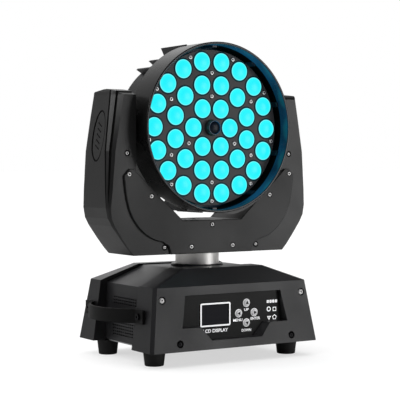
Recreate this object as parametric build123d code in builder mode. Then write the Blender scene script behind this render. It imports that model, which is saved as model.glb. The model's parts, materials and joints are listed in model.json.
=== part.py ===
"""A moving head wash light: a base on rubber feet, a yoke that pans on it and a round head that tilts.

Millimetres, +Z up. The origin is on the floor under the pan axis, the lit face points along -Y,
and the head tilts about a line parallel to X.
"""

import os
from math import atan, copysign, cos, radians, sin, sqrt

from build123d import *

os.makedirs("parts", exist_ok=True)

# --- Base, driving sizes ---------------------------------------------------------------------
base_bottom_z = 20.5
wall_top_z = 103.0
roof_top_z = 124.0
base_half_x = 132.2
base_half_y = 101.7
wall_top_half_x = 120.7
wall_top_half_y = 89.7
roof_half = 65.3
wall = 2.5
corner_cut = 4.0
gap = 0.2

# --- Yoke and head, driving sizes ------------------------------------------------------------
yoke_bottom_z = 141.5
yoke_half_depth = 36.0
arc_cover_face_y = 39.2
arm_inner_x = 116.6
tilt_z = 311.0
ring_radius = 114.5
ring_wall = 3.6
ring_front_y = -60.0
ring_rear_y = -13.0
lens_plate_y = -37.0
lens_pitch_radius = 30.0
lens_radius = 12.1
zoom_travel = 14.0

# --- Drives ----------------------------------------------------------------------------------
pan_shaft_radius = 30.0
pan_pulley_radius = 50.0
pan_pinion_radius = 10.0
pan_motor_x = 86.0
tilt_shaft_radius = 12.0
tilt_pulley_radius = 28.0
tilt_pinion_radius = 8.0
tilt_motor_z = 216.0
running_clearance = 0.05
belt_clearance = 0.35
belt_thickness = 1.6

# --- Derived sizes ---------------------------------------------------------------------------
wall_lean = atan((base_half_y - wall_top_half_y) / (wall_top_z - base_bottom_z))
swing_radius = sqrt(ring_radius**2 + ring_front_y**2)
dish_radius = swing_radius + 1.2
tilt_centre = (0, 0, tilt_z)


def keep(piece, name):
    """Label a finished piece and write it to its own file."""
    piece.part.label = name
    export_step(piece.part, f"parts/{name}.step")


def head_plane(y):
    """The plane across the head at depth y, seen from the front, facing forwards."""
    return Plane(origin=(0, y, tilt_z), x_dir=(1, 0, 0), z_dir=(0, -1, 0))


def side_plane(x):
    """The plane across the tilt axis at x: its own x runs along Y, its own y along Z."""
    return Plane(origin=(x, 0, tilt_z), x_dir=(0, 1, 0), z_dir=(1, 0, 0))


def front_view(y):
    """A vertical plane at depth y with its own x along X and its own y along Z."""
    return Plane(origin=(0, y, 0), x_dir=(1, 0, 0), z_dir=(0, -1, 0))


def mirrored(points):
    """A closed outline from its right half, listed from the bottom to the top."""
    return points + [(-x, z) for x, z in reversed(points)]


# =============================================================================================
# Base shells
# =============================================================================================


def cut_corners(half_x, half_y, cut):
    """The points of a rectangle with its corners cut off."""
    right = [
        (half_x - cut, -half_y),
        (half_x, -half_y + 1.1 * cut),
        (half_x, half_y - 1.1 * cut),
        (half_x - cut, half_y),
    ]
    return mirrored(right)


def base_form(inset, bottom_z):
    """The solid inside the base's outer faces, drawn in by an inset."""
    top_z = roof_top_z - inset
    eave_z = wall_top_z - 0.6 * inset
    cut = corner_cut - 0.4 * inset
    wall_bottom = cut_corners(base_half_x - inset, base_half_y - inset, cut)
    wall_top = cut_corners(wall_top_half_x - inset, wall_top_half_y - inset, cut)
    roof_top = cut_corners(roof_half - inset / 2, roof_half - inset / 2, cut / 2)
    with BuildPart() as form:
        walls = (wall_bottom, bottom_z, wall_top, eave_z)
        roof = (wall_top, eave_z, roof_top, top_z)
        for low, low_z, high, high_z in (walls, roof):
            with BuildSketch(Plane.XY.offset(low_z)):
                Polygon(*low, align=None)
            with BuildSketch(Plane.XY.offset(high_z)):
                Polygon(*high, align=None)
            loft(ruled=True)
    return form.part


plate_z = base_bottom_z
plate_thickness = 2.0
housing_half_x_bottom = 114.0
housing_half_x_top = 111.0
housing_top_z = 122.3
housing_front_y = -60.0
housing_rear_y = 66.0


def housing_form(grow, bottom_z, extend=0.0):
    """The solid inside the middle housing's outer faces, grown outwards and extended along Y."""
    eave_z = wall_top_z - 3.0 + 0.6 * grow
    outline = mirrored([
        (housing_half_x_bottom + grow, bottom_z),
        (housing_half_x_top + grow, eave_z),
        (60.0, housing_top_z + grow),
    ])
    with BuildPart() as form:
        with BuildSketch(front_view(housing_front_y - extend)):
            Polygon(*outline, align=None)
        extrude(amount=-(housing_rear_y - housing_front_y + 2 * extend))
    return form.part


def parting_zone(side, shift):
    """The plan region of the front (side -1) or rear (side 1) cover, pulled back by a shift."""
    corner_y = 50.0 if side < 0 else 56.0
    middle_y = 36.0 if side < 0 else 48.0
    reach = 120.0
    plan = [
        (-150.0, side * reach),
        (150.0, side * reach),
        (150.0, side * (corner_y + shift)),
        (112.0, side * (corner_y + shift)),
        (roof_half, side * (middle_y + shift)),
        (-roof_half, side * (middle_y + shift)),
        (-112.0, side * (corner_y + shift)),
        (-150.0, side * (corner_y + shift)),
    ]
    with BuildPart() as zone:
        with BuildSketch(Plane.XY):
            Polygon(*plan, align=None)
        extrude(amount=150)
    return zone.part


def face_y(z):
    """Depth of the leaning front face at height z."""
    lean_per_mm = (base_half_y - wall_top_half_y) / (wall_top_z - base_bottom_z)
    return -base_half_y + (z - base_bottom_z) * lean_per_mm


def leaning_face(side, x, z):
    """A plane on the leaning front (side -1) or rear (side 1) face, facing outwards."""
    return Plane(
        origin=(x, -side * face_y(z), z),
        x_dir=(-side, 0, 0),
        z_dir=(0, side * cos(wall_lean), sin(wall_lean)),
    )


window_face = mirrored([(41.0, 31.7), (57.0, 49.5), (85.0, 50.0), (75.8, 93.0)])
window_panel = mirrored([(33.3, 32.0), (50.2, 50.0), (80.7, 50.0), (75.8, 91.0)])
panel_y = 87.0


def window_funnel(side, grow):
    """The funnel from the window in the leaning face down to the upright panel behind it."""
    outer_y = base_half_y + 1.0
    with BuildPart() as funnel:
        with BuildSketch(front_view(side * outer_y)):
            Polygon(*window_face, align=None)
            offset(amount=0.01 + grow, kind=Kind.INTERSECTION)
        with BuildSketch(front_view(side * panel_y)):
            Polygon(*window_panel, align=None)
            offset(amount=0.01 + grow, kind=Kind.INTERSECTION)
        loft(ruled=True)
    return funnel.part


cover_screw_sites = [(110.4, 87.2), (88.3, 30.5)]
screw_recess_radius = 5.0

# Carrying straps, bowed outwards from flat pads on both covers.
strap_bottom_z = 56.0
strap_height = 18.0
strap_thickness = 4.0
strap_centre_y = 3.0
strap_pad_x = 130.6
strap_bow_x = 157.0
strap_pad_in = 59.0
strap_pad_out = 79.0
strap_bolt_offset = 68.0
strap_middle_z = strap_bottom_z + strap_height / 2


def step_wall(side):
    """The wall that closes a cover against the narrower middle housing."""
    with BuildPart() as step:
        add(base_form(wall / 2, base_bottom_z))
        add(parting_zone(side, 0.0), mode=Mode.INTERSECT)
        add(parting_zone(side, wall), mode=Mode.SUBTRACT)
    return step.part


def window_walls(side):
    """The drafted walls that run inwards from the window's edge."""
    with BuildPart() as walls:
        add(window_funnel(side, 1.8))
        add(base_form(wall / 2, base_bottom_z), mode=Mode.INTERSECT)
    return walls.part


def end_cover(side):
    """The front or rear cover: leaning shell, step wall, window and screw recesses."""
    with BuildPart() as cover:
        add(base_form(0.0, base_bottom_z))
        add(base_form(wall, base_bottom_z - 1.0), mode=Mode.SUBTRACT)
        add(parting_zone(side, 0.0), mode=Mode.INTERSECT)
        add(step_wall(side))
        add(window_walls(side))
        add(window_funnel(side, 0.0), mode=Mode.SUBTRACT)
        add(housing_form(gap, base_bottom_z - 2.0, gap), mode=Mode.SUBTRACT)
        for x, z in cover_screw_sites:
            for across in (-x, x):
                with BuildSketch(leaning_face(side, across, z).offset(-4.0)):
                    Circle(screw_recess_radius + 1.5)
                extrude(amount=3.0)
                with BuildSketch(leaning_face(side, across, z).offset(-2.0)):
                    Circle(screw_recess_radius)
                extrude(amount=6.0, mode=Mode.SUBTRACT)
                with BuildSketch(leaning_face(side, across, z).offset(-5.0)):
                    Circle(1.7)
                extrude(amount=6.0, mode=Mode.SUBTRACT)
        with BuildSketch(Plane.YZ.offset(-base_half_x)):
            with Locations((strap_centre_y + side * strap_bolt_offset, strap_middle_z)):
                Circle(2.4)
        extrude(amount=2 * base_half_x, mode=Mode.SUBTRACT)
    return cover.part


front_cover = BuildPart()
with front_cover:
    add(end_cover(-1))
keep(front_cover, "front_cover")

rear_cover = BuildPart()
with rear_cover:
    add(end_cover(1))
keep(rear_cover, "rear_cover")

# The middle housing, narrower than the covers, with rows of vent slots in both sides.
vent_rows = [82.0, 78.0, 74.0, 48.0, 44.0, 40.0, 36.0, 32.0]
vent_count = 11
vent_pitch = 5.8
vent_slot = 4.2
vent_height = 1.5
with BuildPart() as middle_housing:
    add(housing_form(0.0, plate_z + plate_thickness + 0.1))
    add(housing_form(-2.0, base_bottom_z, 5.0), mode=Mode.SUBTRACT)
    with BuildSketch(Plane.YZ.offset(-housing_half_x_bottom - 3.0)):
        for row in vent_rows:
            with Locations((4.0, row)):
                with GridLocations(vent_pitch, 1.0, vent_count, 1):
                    Rectangle(vent_slot, vent_height)
    extrude(amount=2 * housing_half_x_bottom + 6.0, mode=Mode.SUBTRACT)
    with BuildSketch(Plane.XY.offset(110.0)):
        Circle(pan_shaft_radius + 1.0)
    extrude(amount=20.0, mode=Mode.SUBTRACT)
keep(middle_housing, "middle_housing")

# Bottom plate, wide under both covers and narrow under the middle housing.
plate_wide = 128.0
plate_narrow = 111.2
plate_end_y = 98.0
clamp_pattern_x = 140.0
clamp_pattern_y = 90.0
clamp_hole_radius = 4.25
foot_x = 105.7
foot_y = 63.5
with BuildPart() as base_plate:
    with BuildSketch(Plane.XY.offset(plate_z)):
        Rectangle(2 * plate_narrow, 2 * plate_end_y)
        with Locations((0, -(61.0 + plate_end_y) / 2), (0, (67.0 + plate_end_y) / 2)):
            Rectangle(2 * plate_wide, plate_end_y - 67.0)
        with GridLocations(clamp_pattern_x, clamp_pattern_y, 2, 2):
            Circle(clamp_hole_radius, mode=Mode.SUBTRACT)
        with GridLocations(2 * foot_x, 2 * foot_y, 2, 2):
            Circle(3.1, mode=Mode.SUBTRACT)
    extrude(amount=plate_thickness)
    add(base_form(wall + 0.3, base_bottom_z), mode=Mode.INTERSECT)
keep(base_plate, "base_plate")

# Tapered rubber feet, each with a stem pushed up through the plate.
foot_top_radius = 15.0
foot_bottom_radius = 12.5
foot_stem_radius = 3.0
with BuildPart() as rubber_feet:
    for x in (-foot_x, foot_x):
        for y in (-foot_y, foot_y):
            with BuildSketch(Plane.XY):
                with Locations((x, y)):
                    Circle(foot_bottom_radius)
            with BuildSketch(Plane.XY.offset(base_bottom_z)):
                with Locations((x, y)):
                    Circle(foot_top_radius)
            loft()
            with BuildSketch(Plane.XY.offset(base_bottom_z)):
                with Locations((x, y)):
                    Circle(foot_stem_radius)
            extrude(amount=plate_thickness + 2.5)
            with BuildSketch(Plane.XY):
                with Locations((x, y)):
                    Circle(5.5)
            extrude(amount=6.0, mode=Mode.SUBTRACT)
keep(rubber_feet, "rubber_feet")

# Button-head screws that hold the two end covers.
with BuildPart() as base_cover_screws:
    for side in (-1, 1):
        for x, z in cover_screw_sites:
            for across in (-x, x):
                seat = leaning_face(side, across, z)
                with BuildSketch(seat.offset(-1.9)):
                    Circle(4.0)
                extrude(amount=2.2)
                with BuildSketch(seat.offset(-9.0)):
                    Circle(1.5)
                extrude(amount=7.1)
                with BuildSketch(seat.offset(-1.2)):
                    RegularPolygon(1.6, 6)
                extrude(amount=1.6, mode=Mode.SUBTRACT)
keep(base_cover_screws, "base_cover_screws")


strap_bolt_y = (strap_centre_y - strap_bolt_offset, strap_centre_y + strap_bolt_offset)


def strap_outline(pad_x, bow_x):
    """One face line of the strap in plan, from the front pad round the bow to the rear pad."""
    front = strap_centre_y - strap_pad_out
    front_in = strap_centre_y - strap_pad_in
    rear_in = strap_centre_y + strap_pad_in
    rear = strap_centre_y + strap_pad_out
    Line((pad_x, front), (pad_x, front_in))
    ThreePointArc((pad_x, front_in), (bow_x, strap_centre_y), (pad_x, rear_in))
    Line((pad_x, rear_in), (pad_x, rear))


def strap(side):
    """A bowed strap with flat pads, for the left (side -1) or right (side 1) of the base."""
    front = strap_centre_y - strap_pad_out
    rear = strap_centre_y + strap_pad_out
    inner_x = strap_pad_x - strap_thickness
    with BuildPart() as band:
        with BuildSketch(Plane.XY.offset(strap_bottom_z)):
            with BuildLine():
                strap_outline(side * strap_pad_x, side * strap_bow_x)
                Line((side * strap_pad_x, rear), (side * inner_x, rear))
                strap_outline(side * inner_x, side * (strap_bow_x - strap_thickness))
                Line((side * strap_pad_x, front), (side * inner_x, front))
            make_face()
        extrude(amount=strap_height)
        for y in strap_bolt_y:
            with BuildSketch(Plane.YZ.offset(side * 100.0)):
                with Locations((y, strap_middle_z)):
                    SlotOverall(9.0, 5.0)
            extrude(amount=side * 60.0, mode=Mode.SUBTRACT)
        add(base_form(-0.15, base_bottom_z), mode=Mode.SUBTRACT)
    return band.part


for side, strap_name in ((-1, "handle_left"), (1, "handle_right")):
    handle = BuildPart()
    with handle:
        add(strap(side))
    keep(handle, strap_name)

with BuildPart() as handle_bolts:
    for side in (-1, 1):
        for y in strap_bolt_y:
            with BuildSketch(Plane.YZ.offset(side * (strap_pad_x + 0.1))):
                with Locations((y, strap_middle_z)):
                    Circle(4.4)
            extrude(amount=side * 2.4)
            with BuildSketch(Plane.YZ.offset(side * 119.0)):
                with Locations((y, strap_middle_z)):
                    Circle(2.2)
            extrude(amount=side * (strap_pad_x + 0.1 - 119.0))
            with BuildSketch(Plane.YZ.offset(side * (strap_pad_x + 1.2))):
                with Locations((y, strap_middle_z)):
                    RegularPolygon(2.0, 6)
            extrude(amount=side * 2.0, mode=Mode.SUBTRACT)
keep(handle_bolts, "handle_bolts")

# =============================================================================================
# Front display
# =============================================================================================

lcd_centre = (-26.4, 63.9)
lcd_size = (47.2, 31.2)
lcd_border = 2.2
key_centre = (23.5, 63.2)
key_spread_x = 12.5
key_spread_z = 13.2
key_radius = 4.4
key_travel = 1.0
key_sites = {
    "button_up": (key_centre[0], key_centre[1] + key_spread_z),
    "button_down": (key_centre[0], key_centre[1] - key_spread_z),
    "button_left": (key_centre[0] - key_spread_x, key_centre[1]),
    "button_right": (key_centre[0] + key_spread_x, key_centre[1]),
}
panel_outline = mirrored([(30.0, 28.5), (58.0, 31.0), (88.0, 46.0), (88.0, 82.0), (78.0, 96.5)])
panel_thickness = 2.0
board_front_y = -panel_y + 6.0

# The upright panel behind the front window, with openings for the screen and the four keys.
with BuildPart() as display_panel:
    with BuildSketch(front_view(-panel_y + 0.4)):
        Polygon(*panel_outline, align=None)
        with Locations(lcd_centre):
            Rectangle(lcd_size[0] - 2 * lcd_border, lcd_size[1] - 2 * lcd_border, mode=Mode.SUBTRACT)
        with Locations(*key_sites.values()):
            Circle(key_radius + 0.4, mode=Mode.SUBTRACT)
    extrude(amount=-panel_thickness)
    add(base_form(wall + 0.4, base_bottom_z), mode=Mode.INTERSECT)
    with BuildSketch(front_view(-panel_y + 0.5)):
        with Locations(lcd_centre):
            RectangleRounded(*lcd_size, 2.0)
            Rectangle(lcd_size[0] - 2 * lcd_border, lcd_size[1] - 2 * lcd_border, mode=Mode.SUBTRACT)
    extrude(amount=1.2)
keep(display_panel, "display_panel")

with BuildPart() as lcd_screen:
    with BuildSketch(front_view(-panel_y + 0.8)):
        with Locations(lcd_centre):
            Rectangle(lcd_size[0] - 2 * lcd_border - 0.4, lcd_size[1] - 2 * lcd_border - 0.4)
    extrude(amount=-3.8)
keep(lcd_screen, "lcd_screen")

for key_name, key_site in key_sites.items():
    key = BuildPart()
    with key:
        with BuildSketch(front_view(-panel_y - 1.6)):
            with Locations(key_site):
                Circle(key_radius)
        extrude(amount=-3.6)
        fillet(key.faces().sort_by(Axis.Y)[0].edges(), radius=1.2)
        with BuildSketch(front_view(-panel_y + 2.0)):
            with Locations(key_site):
                Circle(1.8)
        extrude(amount=-(board_front_y - key_travel - 0.3 + panel_y - 2.0))
    keep(key, key_name)

with BuildPart() as display_board:
    with BuildSketch(front_view(board_front_y)):
        with Locations((0, 64.0)):
            Rectangle(120.0, 56.0)
    extrude(amount=-1.6)
    with BuildSketch(front_view(board_front_y + 1.6)):
        with Locations((-26.0, 64.0), (24.0, 72.0)):
            Rectangle(24.0, 12.0)
    extrude(amount=-3.0)
keep(display_board, "display_board")

# =============================================================================================
# Rear connectors
# =============================================================================================

mains_inlet_x = 54.0
mains_z = 70.0
fuse_site = (26.0, 70.0)
switch_site = (2.0, 70.0)
data_in_x = -28.0
data_out_x = -58.0
data_z = 68.0
data_radius = 11.5
socket_depth = 16.0

# The upright rear panel carries every connector in its window.
with BuildPart() as rear_panel:
    with BuildSketch(front_view(panel_y - 0.2)):
        Polygon(*panel_outline, align=None)
        with Locations((mains_inlet_x, mains_z)):
            Rectangle(28.4, 20.4, mode=Mode.SUBTRACT)
        with Locations(fuse_site):
            Circle(6.4, mode=Mode.SUBTRACT)
        with Locations(switch_site):
            Rectangle(19.4, 13.4, mode=Mode.SUBTRACT)
        with Locations((data_in_x, data_z), (data_out_x, data_z)):
            Circle(data_radius + 0.2, mode=Mode.SUBTRACT)
    extrude(amount=panel_thickness)
    add(base_form(wall + 0.2, base_bottom_z), mode=Mode.INTERSECT)
keep(rear_panel, "rear_panel")

with BuildPart() as power_inlet:
    with BuildSketch(front_view(panel_y)):
        with Locations((mains_inlet_x, mains_z)):
            Rectangle(33.0, 25.0)
    extrude(amount=-2.0)
    with BuildSketch(front_view(panel_y)):
        with Locations((mains_inlet_x, mains_z)):
            Rectangle(28.0, 20.0)
    extrude(amount=20.0)
    with BuildSketch(front_view(panel_y + 2.0)):
        with Locations((mains_inlet_x, mains_z)):
            Rectangle(24.0, 16.0)
        chamfer(vertices().sort_by(Axis.Z)[-2:], length=3.5)
    extrude(amount=socket_depth + 2.0, mode=Mode.SUBTRACT)
    with BuildSketch(front_view(panel_y - socket_depth)):
        with Locations((mains_inlet_x - 7.0, mains_z - 1.5), (mains_inlet_x + 7.0, mains_z - 1.5)):
            Rectangle(2.0, 4.0)
        with Locations((mains_inlet_x, mains_z + 3.0)):
            Rectangle(2.0, 4.0)
    extrude(amount=-11.0)
keep(power_inlet, "power_inlet")

with BuildPart() as fuse_holder:
    with BuildSketch(front_view(panel_y)):
        with Locations(fuse_site):
            Circle(8.0)
    extrude(amount=-2.0)
    with BuildSketch(front_view(panel_y + 2.0)):
        with Locations(fuse_site):
            Circle(6.0)
    extrude(amount=-3.5)
    with BuildSketch(front_view(panel_y + 5.5)):
        with Locations(fuse_site):
            Rectangle(8.0, 1.4)
    extrude(amount=1.5, mode=Mode.SUBTRACT)
    with BuildSketch(front_view(panel_y)):
        with Locations(fuse_site):
            Circle(6.2)
    extrude(amount=24.0)
keep(fuse_holder, "fuse_holder")

# Rocker switch: a frame on the panel and a rocker that pivots in it.
rocker_tilt = 10.0
rocker_pivot_y = panel_y - 2.0
rocker_pin_radius = 1.0
with BuildPart() as switch_frame:
    with BuildSketch(front_view(panel_y)):
        with Locations(switch_site):
            Rectangle(22.5, 16.5)
            Rectangle(16.2, 10.2, mode=Mode.SUBTRACT)
    extrude(amount=-1.8)
    with BuildSketch(front_view(panel_y)):
        with Locations(switch_site):
            Rectangle(19.0, 13.0)
            Rectangle(16.2, 10.2, mode=Mode.SUBTRACT)
    extrude(amount=14.0)
    with BuildSketch(front_view(panel_y - 12.0)):
        with Locations(switch_site):
            Rectangle(16.2, 10.2)
    extrude(amount=2.0)
    with BuildSketch(Plane.XY.offset(switch_site[1] - 6.0)):
        with Locations((switch_site[0], rocker_pivot_y)):
            Circle(rocker_pin_radius + running_clearance)
    extrude(amount=12.0, mode=Mode.SUBTRACT)
keep(switch_frame, "switch_frame")

rocker_plane = Plane(
    origin=(switch_site[0], rocker_pivot_y, switch_site[1] - 4.7),
    x_dir=(cos(radians(rocker_tilt)), sin(radians(rocker_tilt)), 0),
)
with BuildPart() as power_switch:
    with BuildSketch(rocker_plane):
        Polygon((-6.0, -3.5), (-6.6, 3.8), (0, 3.3), (6.6, 3.8), (6.0, -3.5), align=None)
    extrude(amount=9.4)
    with BuildSketch(Plane.XY.offset(switch_site[1] - 5.9)):
        with Locations((switch_site[0], rocker_pivot_y)):
            Circle(rocker_pin_radius)
    extrude(amount=11.8)
keep(power_switch, "power_switch")

# Three-pole data sockets: pins in the inlet, sleeve holes in the outlet.
with BuildPart() as data_inlet:
    with BuildSketch(front_view(panel_y)):
        with Locations((data_in_x, data_z)):
            RectangleRounded(26.0, 31.0, 2.0)
    extrude(amount=-2.0)
    with BuildSketch(front_view(panel_y)):
        with Locations((data_in_x, data_z)):
            Circle(data_radius)
    extrude(amount=18.0)
    with BuildSketch(front_view(panel_y + 2.0)):
        with Locations((data_in_x, data_z)):
            Circle(9.4)
    extrude(amount=socket_depth, mode=Mode.SUBTRACT)
    with BuildSketch(front_view(panel_y + 2.0 - socket_depth)):
        with Locations((data_in_x, data_z)):
            with PolarLocations(4.6, 3, start_angle=90.0):
                Circle(1.25)
    extrude(amount=-10.0)
keep(data_inlet, "data_inlet")

with BuildPart() as data_outlet:
    with BuildSketch(front_view(panel_y)):
        with Locations((data_out_x, data_z)):
            RectangleRounded(26.0, 31.0, 2.0)
    extrude(amount=-2.0)
    with BuildSketch(front_view(panel_y)):
        with Locations((data_out_x, data_z)):
            Circle(data_radius)
    extrude(amount=18.0)
    with BuildSketch(front_view(panel_y + 2.0)):
        with Locations((data_out_x, data_z)):
            Circle(9.4)
            Circle(7.6, mode=Mode.SUBTRACT)
            with PolarLocations(4.6, 3, start_angle=90.0):
                Circle(1.3)
    extrude(amount=10.0, mode=Mode.SUBTRACT)
keep(data_outlet, "data_outlet")

# =============================================================================================
# Pan drive and electronics in the base
# =============================================================================================

bridge_z = 110.0
bridge_half_x = 44.0
bridge_half_y = 57.0
bearing_height = 12.0
with BuildPart() as bearing_bridge:
    with BuildSketch(Plane.XY.offset(bridge_z)):
        Rectangle(2 * bridge_half_x, 2 * bridge_half_y)
        Circle(pan_shaft_radius + 1.0, mode=Mode.SUBTRACT)
    extrude(amount=3.0)
    for side in (-1, 1):
        with BuildSketch(front_view(side * bridge_half_y)):
            with Locations((0, (plate_z + plate_thickness + bridge_z) / 2)):
                Rectangle(2 * bridge_half_x, bridge_z - plate_z - plate_thickness)
        extrude(amount=side * 3.0)
keep(bearing_bridge, "bearing_bridge")

with BuildPart() as pan_bearing:
    with BuildSketch(Plane.XY.offset(bridge_z - bearing_height)):
        Circle(42.0)
        Circle(pan_shaft_radius + running_clearance, mode=Mode.SUBTRACT)
    extrude(amount=bearing_height - 0.1)
    with BuildSketch(Plane.XY.offset(bridge_z - bearing_height)):
        Circle(37.5)
        Circle(34.5, mode=Mode.SUBTRACT)
    extrude(amount=1.2, mode=Mode.SUBTRACT)
keep(pan_bearing, "pan_bearing")

# Trim ring round the foot of the pan shaft.
with BuildPart() as shaft_collar:
    with BuildSketch(Plane.XY.offset(housing_top_z)):
        Circle(36.0)
        Circle(pan_shaft_radius + 0.5, mode=Mode.SUBTRACT)
    extrude(amount=roof_top_z + 1.6 - housing_top_z)
    chamfer(shaft_collar.edges().group_by(Axis.Z)[-1].sort_by(SortBy.RADIUS)[-1], length=0.8)
keep(shaft_collar, "shaft_collar")

pulley_z = 84.0
pulley_height = 9.0
motor_size = 42.0
pan_motor_top_z = 80.0


def toothed_wheel(radius, bore, teeth):
    """A belt wheel's section: a disc with shallow rounded grooves for the belt's teeth."""
    Circle(radius)
    with PolarLocations(radius + 0.3, teeth):
        Circle(0.9, mode=Mode.SUBTRACT)
    if bore > 0:
        Circle(bore, mode=Mode.SUBTRACT)


def belt_loop(near, near_radius, far, far_radius):
    """A belt's section: the band wrapped round two wheels, clear of both by the belt gap."""
    for grow, mode in ((belt_clearance + belt_thickness, Mode.ADD), (belt_clearance, Mode.SUBTRACT)):
        with BuildSketch(mode=Mode.PRIVATE) as wheels:
            with Locations(near):
                Circle(near_radius + grow)
            with Locations(far):
                Circle(far_radius + grow)
            make_hull()
        add(wheels.sketch, mode=mode)


with BuildPart() as pan_motor:
    with BuildSketch(Plane.XY.offset(plate_z + plate_thickness + 0.1)):
        with Locations((pan_motor_x, 0)):
            Rectangle(motor_size, motor_size)
            chamfer(vertices(), length=3.5)
    extrude(amount=pan_motor_top_z - plate_z - plate_thickness - 0.1)
    with BuildSketch(Plane.XY.offset(pan_motor_top_z)):
        with Locations((pan_motor_x, 0)):
            Circle(11.0)
    extrude(amount=2.0)
keep(pan_motor, "pan_motor")

with BuildPart() as pan_motor_pulley:
    with BuildSketch(Plane.XY.offset(pulley_z)):
        toothed_wheel(pan_pinion_radius, 0.0, 20)
    extrude(amount=pulley_height)
    with BuildSketch(Plane.XY.offset(pulley_z + pulley_height)):
        Circle(pan_pinion_radius + 1.2)
    extrude(amount=1.0)
    with BuildSketch(Plane.XY.offset(pan_motor_top_z + 2.4)):
        Circle(2.5)
    extrude(amount=2.0)
pan_motor_pulley.part = pan_motor_pulley.part.moved(Location((pan_motor_x, 0, 0)))
keep(pan_motor_pulley, "pan_motor_pulley")

with BuildPart() as pan_belt:
    with BuildSketch(Plane.XY.offset(pulley_z + 1.0)):
        belt_loop((0, 0), pan_pulley_radius, (pan_motor_x, 0), pan_pinion_radius)
    extrude(amount=6.5)
keep(pan_belt, "pan_belt")

supply_centre = (-77.0, 4.0)
supply_size = (54.0, 84.0, 38.0)
with BuildPart() as power_supply:
    with BuildSketch(Plane.XY.offset(plate_z + plate_thickness + 0.1)):
        with Locations(supply_centre):
            Rectangle(supply_size[0], supply_size[1])
    extrude(amount=supply_size[2])
    with BuildSketch(Plane.XY.offset(plate_z + plate_thickness + 0.1 + supply_size[2])):
        with Locations(supply_centre):
            with GridLocations(7.0, 7.0, 6, 9):
                Circle(2.0)
    extrude(amount=-1.5, mode=Mode.SUBTRACT)
keep(power_supply, "power_supply")

main_board_centre = (75.0, 42.0)
with BuildPart() as main_board:
    with BuildSketch(Plane.XY.offset(plate_z + plate_thickness + 5.0)):
        with Locations(main_board_centre):
            Rectangle(56.0, 36.0)
    extrude(amount=1.6)
    with BuildSketch(Plane.XY.offset(plate_z + plate_thickness)):
        with Locations(main_board_centre):
            with GridLocations(48.0, 28.0, 2, 2):
                Circle(2.5)
    extrude(amount=5.0)
    with BuildSketch(Plane.XY.offset(plate_z + plate_thickness + 6.6)):
        with Locations(main_board_centre):
            with GridLocations(18.0, 16.0, 3, 2):
                Rectangle(9.0, 9.0)
    extrude(amount=3.0)
keep(main_board, "main_board")

# =============================================================================================
# Yoke
# =============================================================================================

# Height, then half widths at the side, at the crease and at the front edge, then how far the side
# panel's edge and the crease lie from the middle plane.
yoke_sections = [
    (yoke_bottom_z, 120.7, 120.2, 119.6, 33.0, 34.5),
    (150.0, 128.5, 128.0, 127.4, 33.0, 34.5),
    (165.0, 139.9, 139.1, 138.2, 32.5, 34.2),
    (181.0, 151.2, 150.0, 148.6, 31.5, 34.0),
    (191.0, 156.5, 155.0, 153.2, 31.0, 33.8),
    (204.5, 158.8, 156.8, 154.2, 30.0, 33.4),
    (227.0, 158.2, 155.6, 151.7, 28.0, 32.6),
    (279.0, 155.1, 151.8, 147.3, 22.0, 29.8),
    (324.5, 147.8, 144.0, 139.6, 16.5, 26.8),
    (352.8, 142.8, 139.0, 135.0, 13.0, 24.5),
    (357.5, 142.3, 138.8, 134.8, 12.4, 24.2),
    (362.0, 140.6, 137.4, 133.6, 12.2, 24.0),
]
# The arm's other corner is plain: how far in from the side panel, then from the middle plane.
plain_corner = [(2.4, 36.0), (0.8, 34.6), (0.0, 32.6)]
# The top of the right arm from its front to its rear: depth, then height.
arm_top_profile = [
    (-40.0, 352.6),
    (-36.0, 352.6),
    (-34.0, 355.8),
    (-31.0, 358.2),
    (-9.0, 360.7),
    (0.0, 361.0),
    (12.0, 359.6),
    (24.2, 357.6),
    (24.8, 355.8),
    (36.0, 352.7),
    (40.0, 352.7),
]


def yoke_outline(section, inset):
    """The plan outline of the yoke's right half at one height, drawn in by an inset."""
    side_x, crease_x, edge_x, side_y, crease_y = section[1:]
    depth = yoke_half_depth - inset
    front = []
    for (corner_in, corner_y), share in zip(plain_corner, (1, 1 / 2, 1 / 3)):
        front.append((side_x - corner_in - inset, -corner_y + inset * share))
    rear = [
        (side_x - inset, side_y - inset / 3),
        (crease_x - inset, crease_y - inset / 2),
        (edge_x - inset, depth),
    ]
    return [(0.0, -depth)] + front + rear + [(0.0, depth)]


def yoke_form(inset):
    """The solid inside the outer faces of the yoke's right half, drawn in by an inset."""
    with BuildPart() as form:
        for section in yoke_sections:
            height = section[0]
            if section is yoke_sections[0]:
                height += inset
            if section is yoke_sections[-1]:
                height -= inset
            with BuildSketch(Plane.XY.offset(height)):
                Polygon(*yoke_outline(section, inset), align=None)
        loft(ruled=True)
        crown = []
        for y, z in arm_top_profile:
            crown.append((y - copysign(min(inset, abs(y)), y), z - inset))
        with BuildSketch(Plane.YZ):
            Polygon((40.0, 100.0), (-40.0, 100.0), *crown, align=None)
        extrude(amount=170.0, mode=Mode.INTERSECT)
    return form.part


notch_half_x = 46.5
notch_z = 186.5
notch_slope = 0.919


def head_room(grow):
    """The space between the arms and over the beam where the head swings, grown by a wall."""
    side_x = arm_inner_x + grow
    floor_z = notch_z - grow
    shoulder_x = notch_half_x + 0.39 * grow
    shoulder_z = floor_z + notch_slope * (side_x - shoulder_x)
    outline = mirrored([(shoulder_x, floor_z), (side_x, shoulder_z), (side_x, 420.0)])
    with BuildPart() as room:
        with BuildSketch(front_view(-60.0)):
            Polygon(*outline, align=None)
        extrude(amount=-120.0)
        add(swing_ball(dish_radius + grow, side_x - 0.5))
    return room.part


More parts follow.
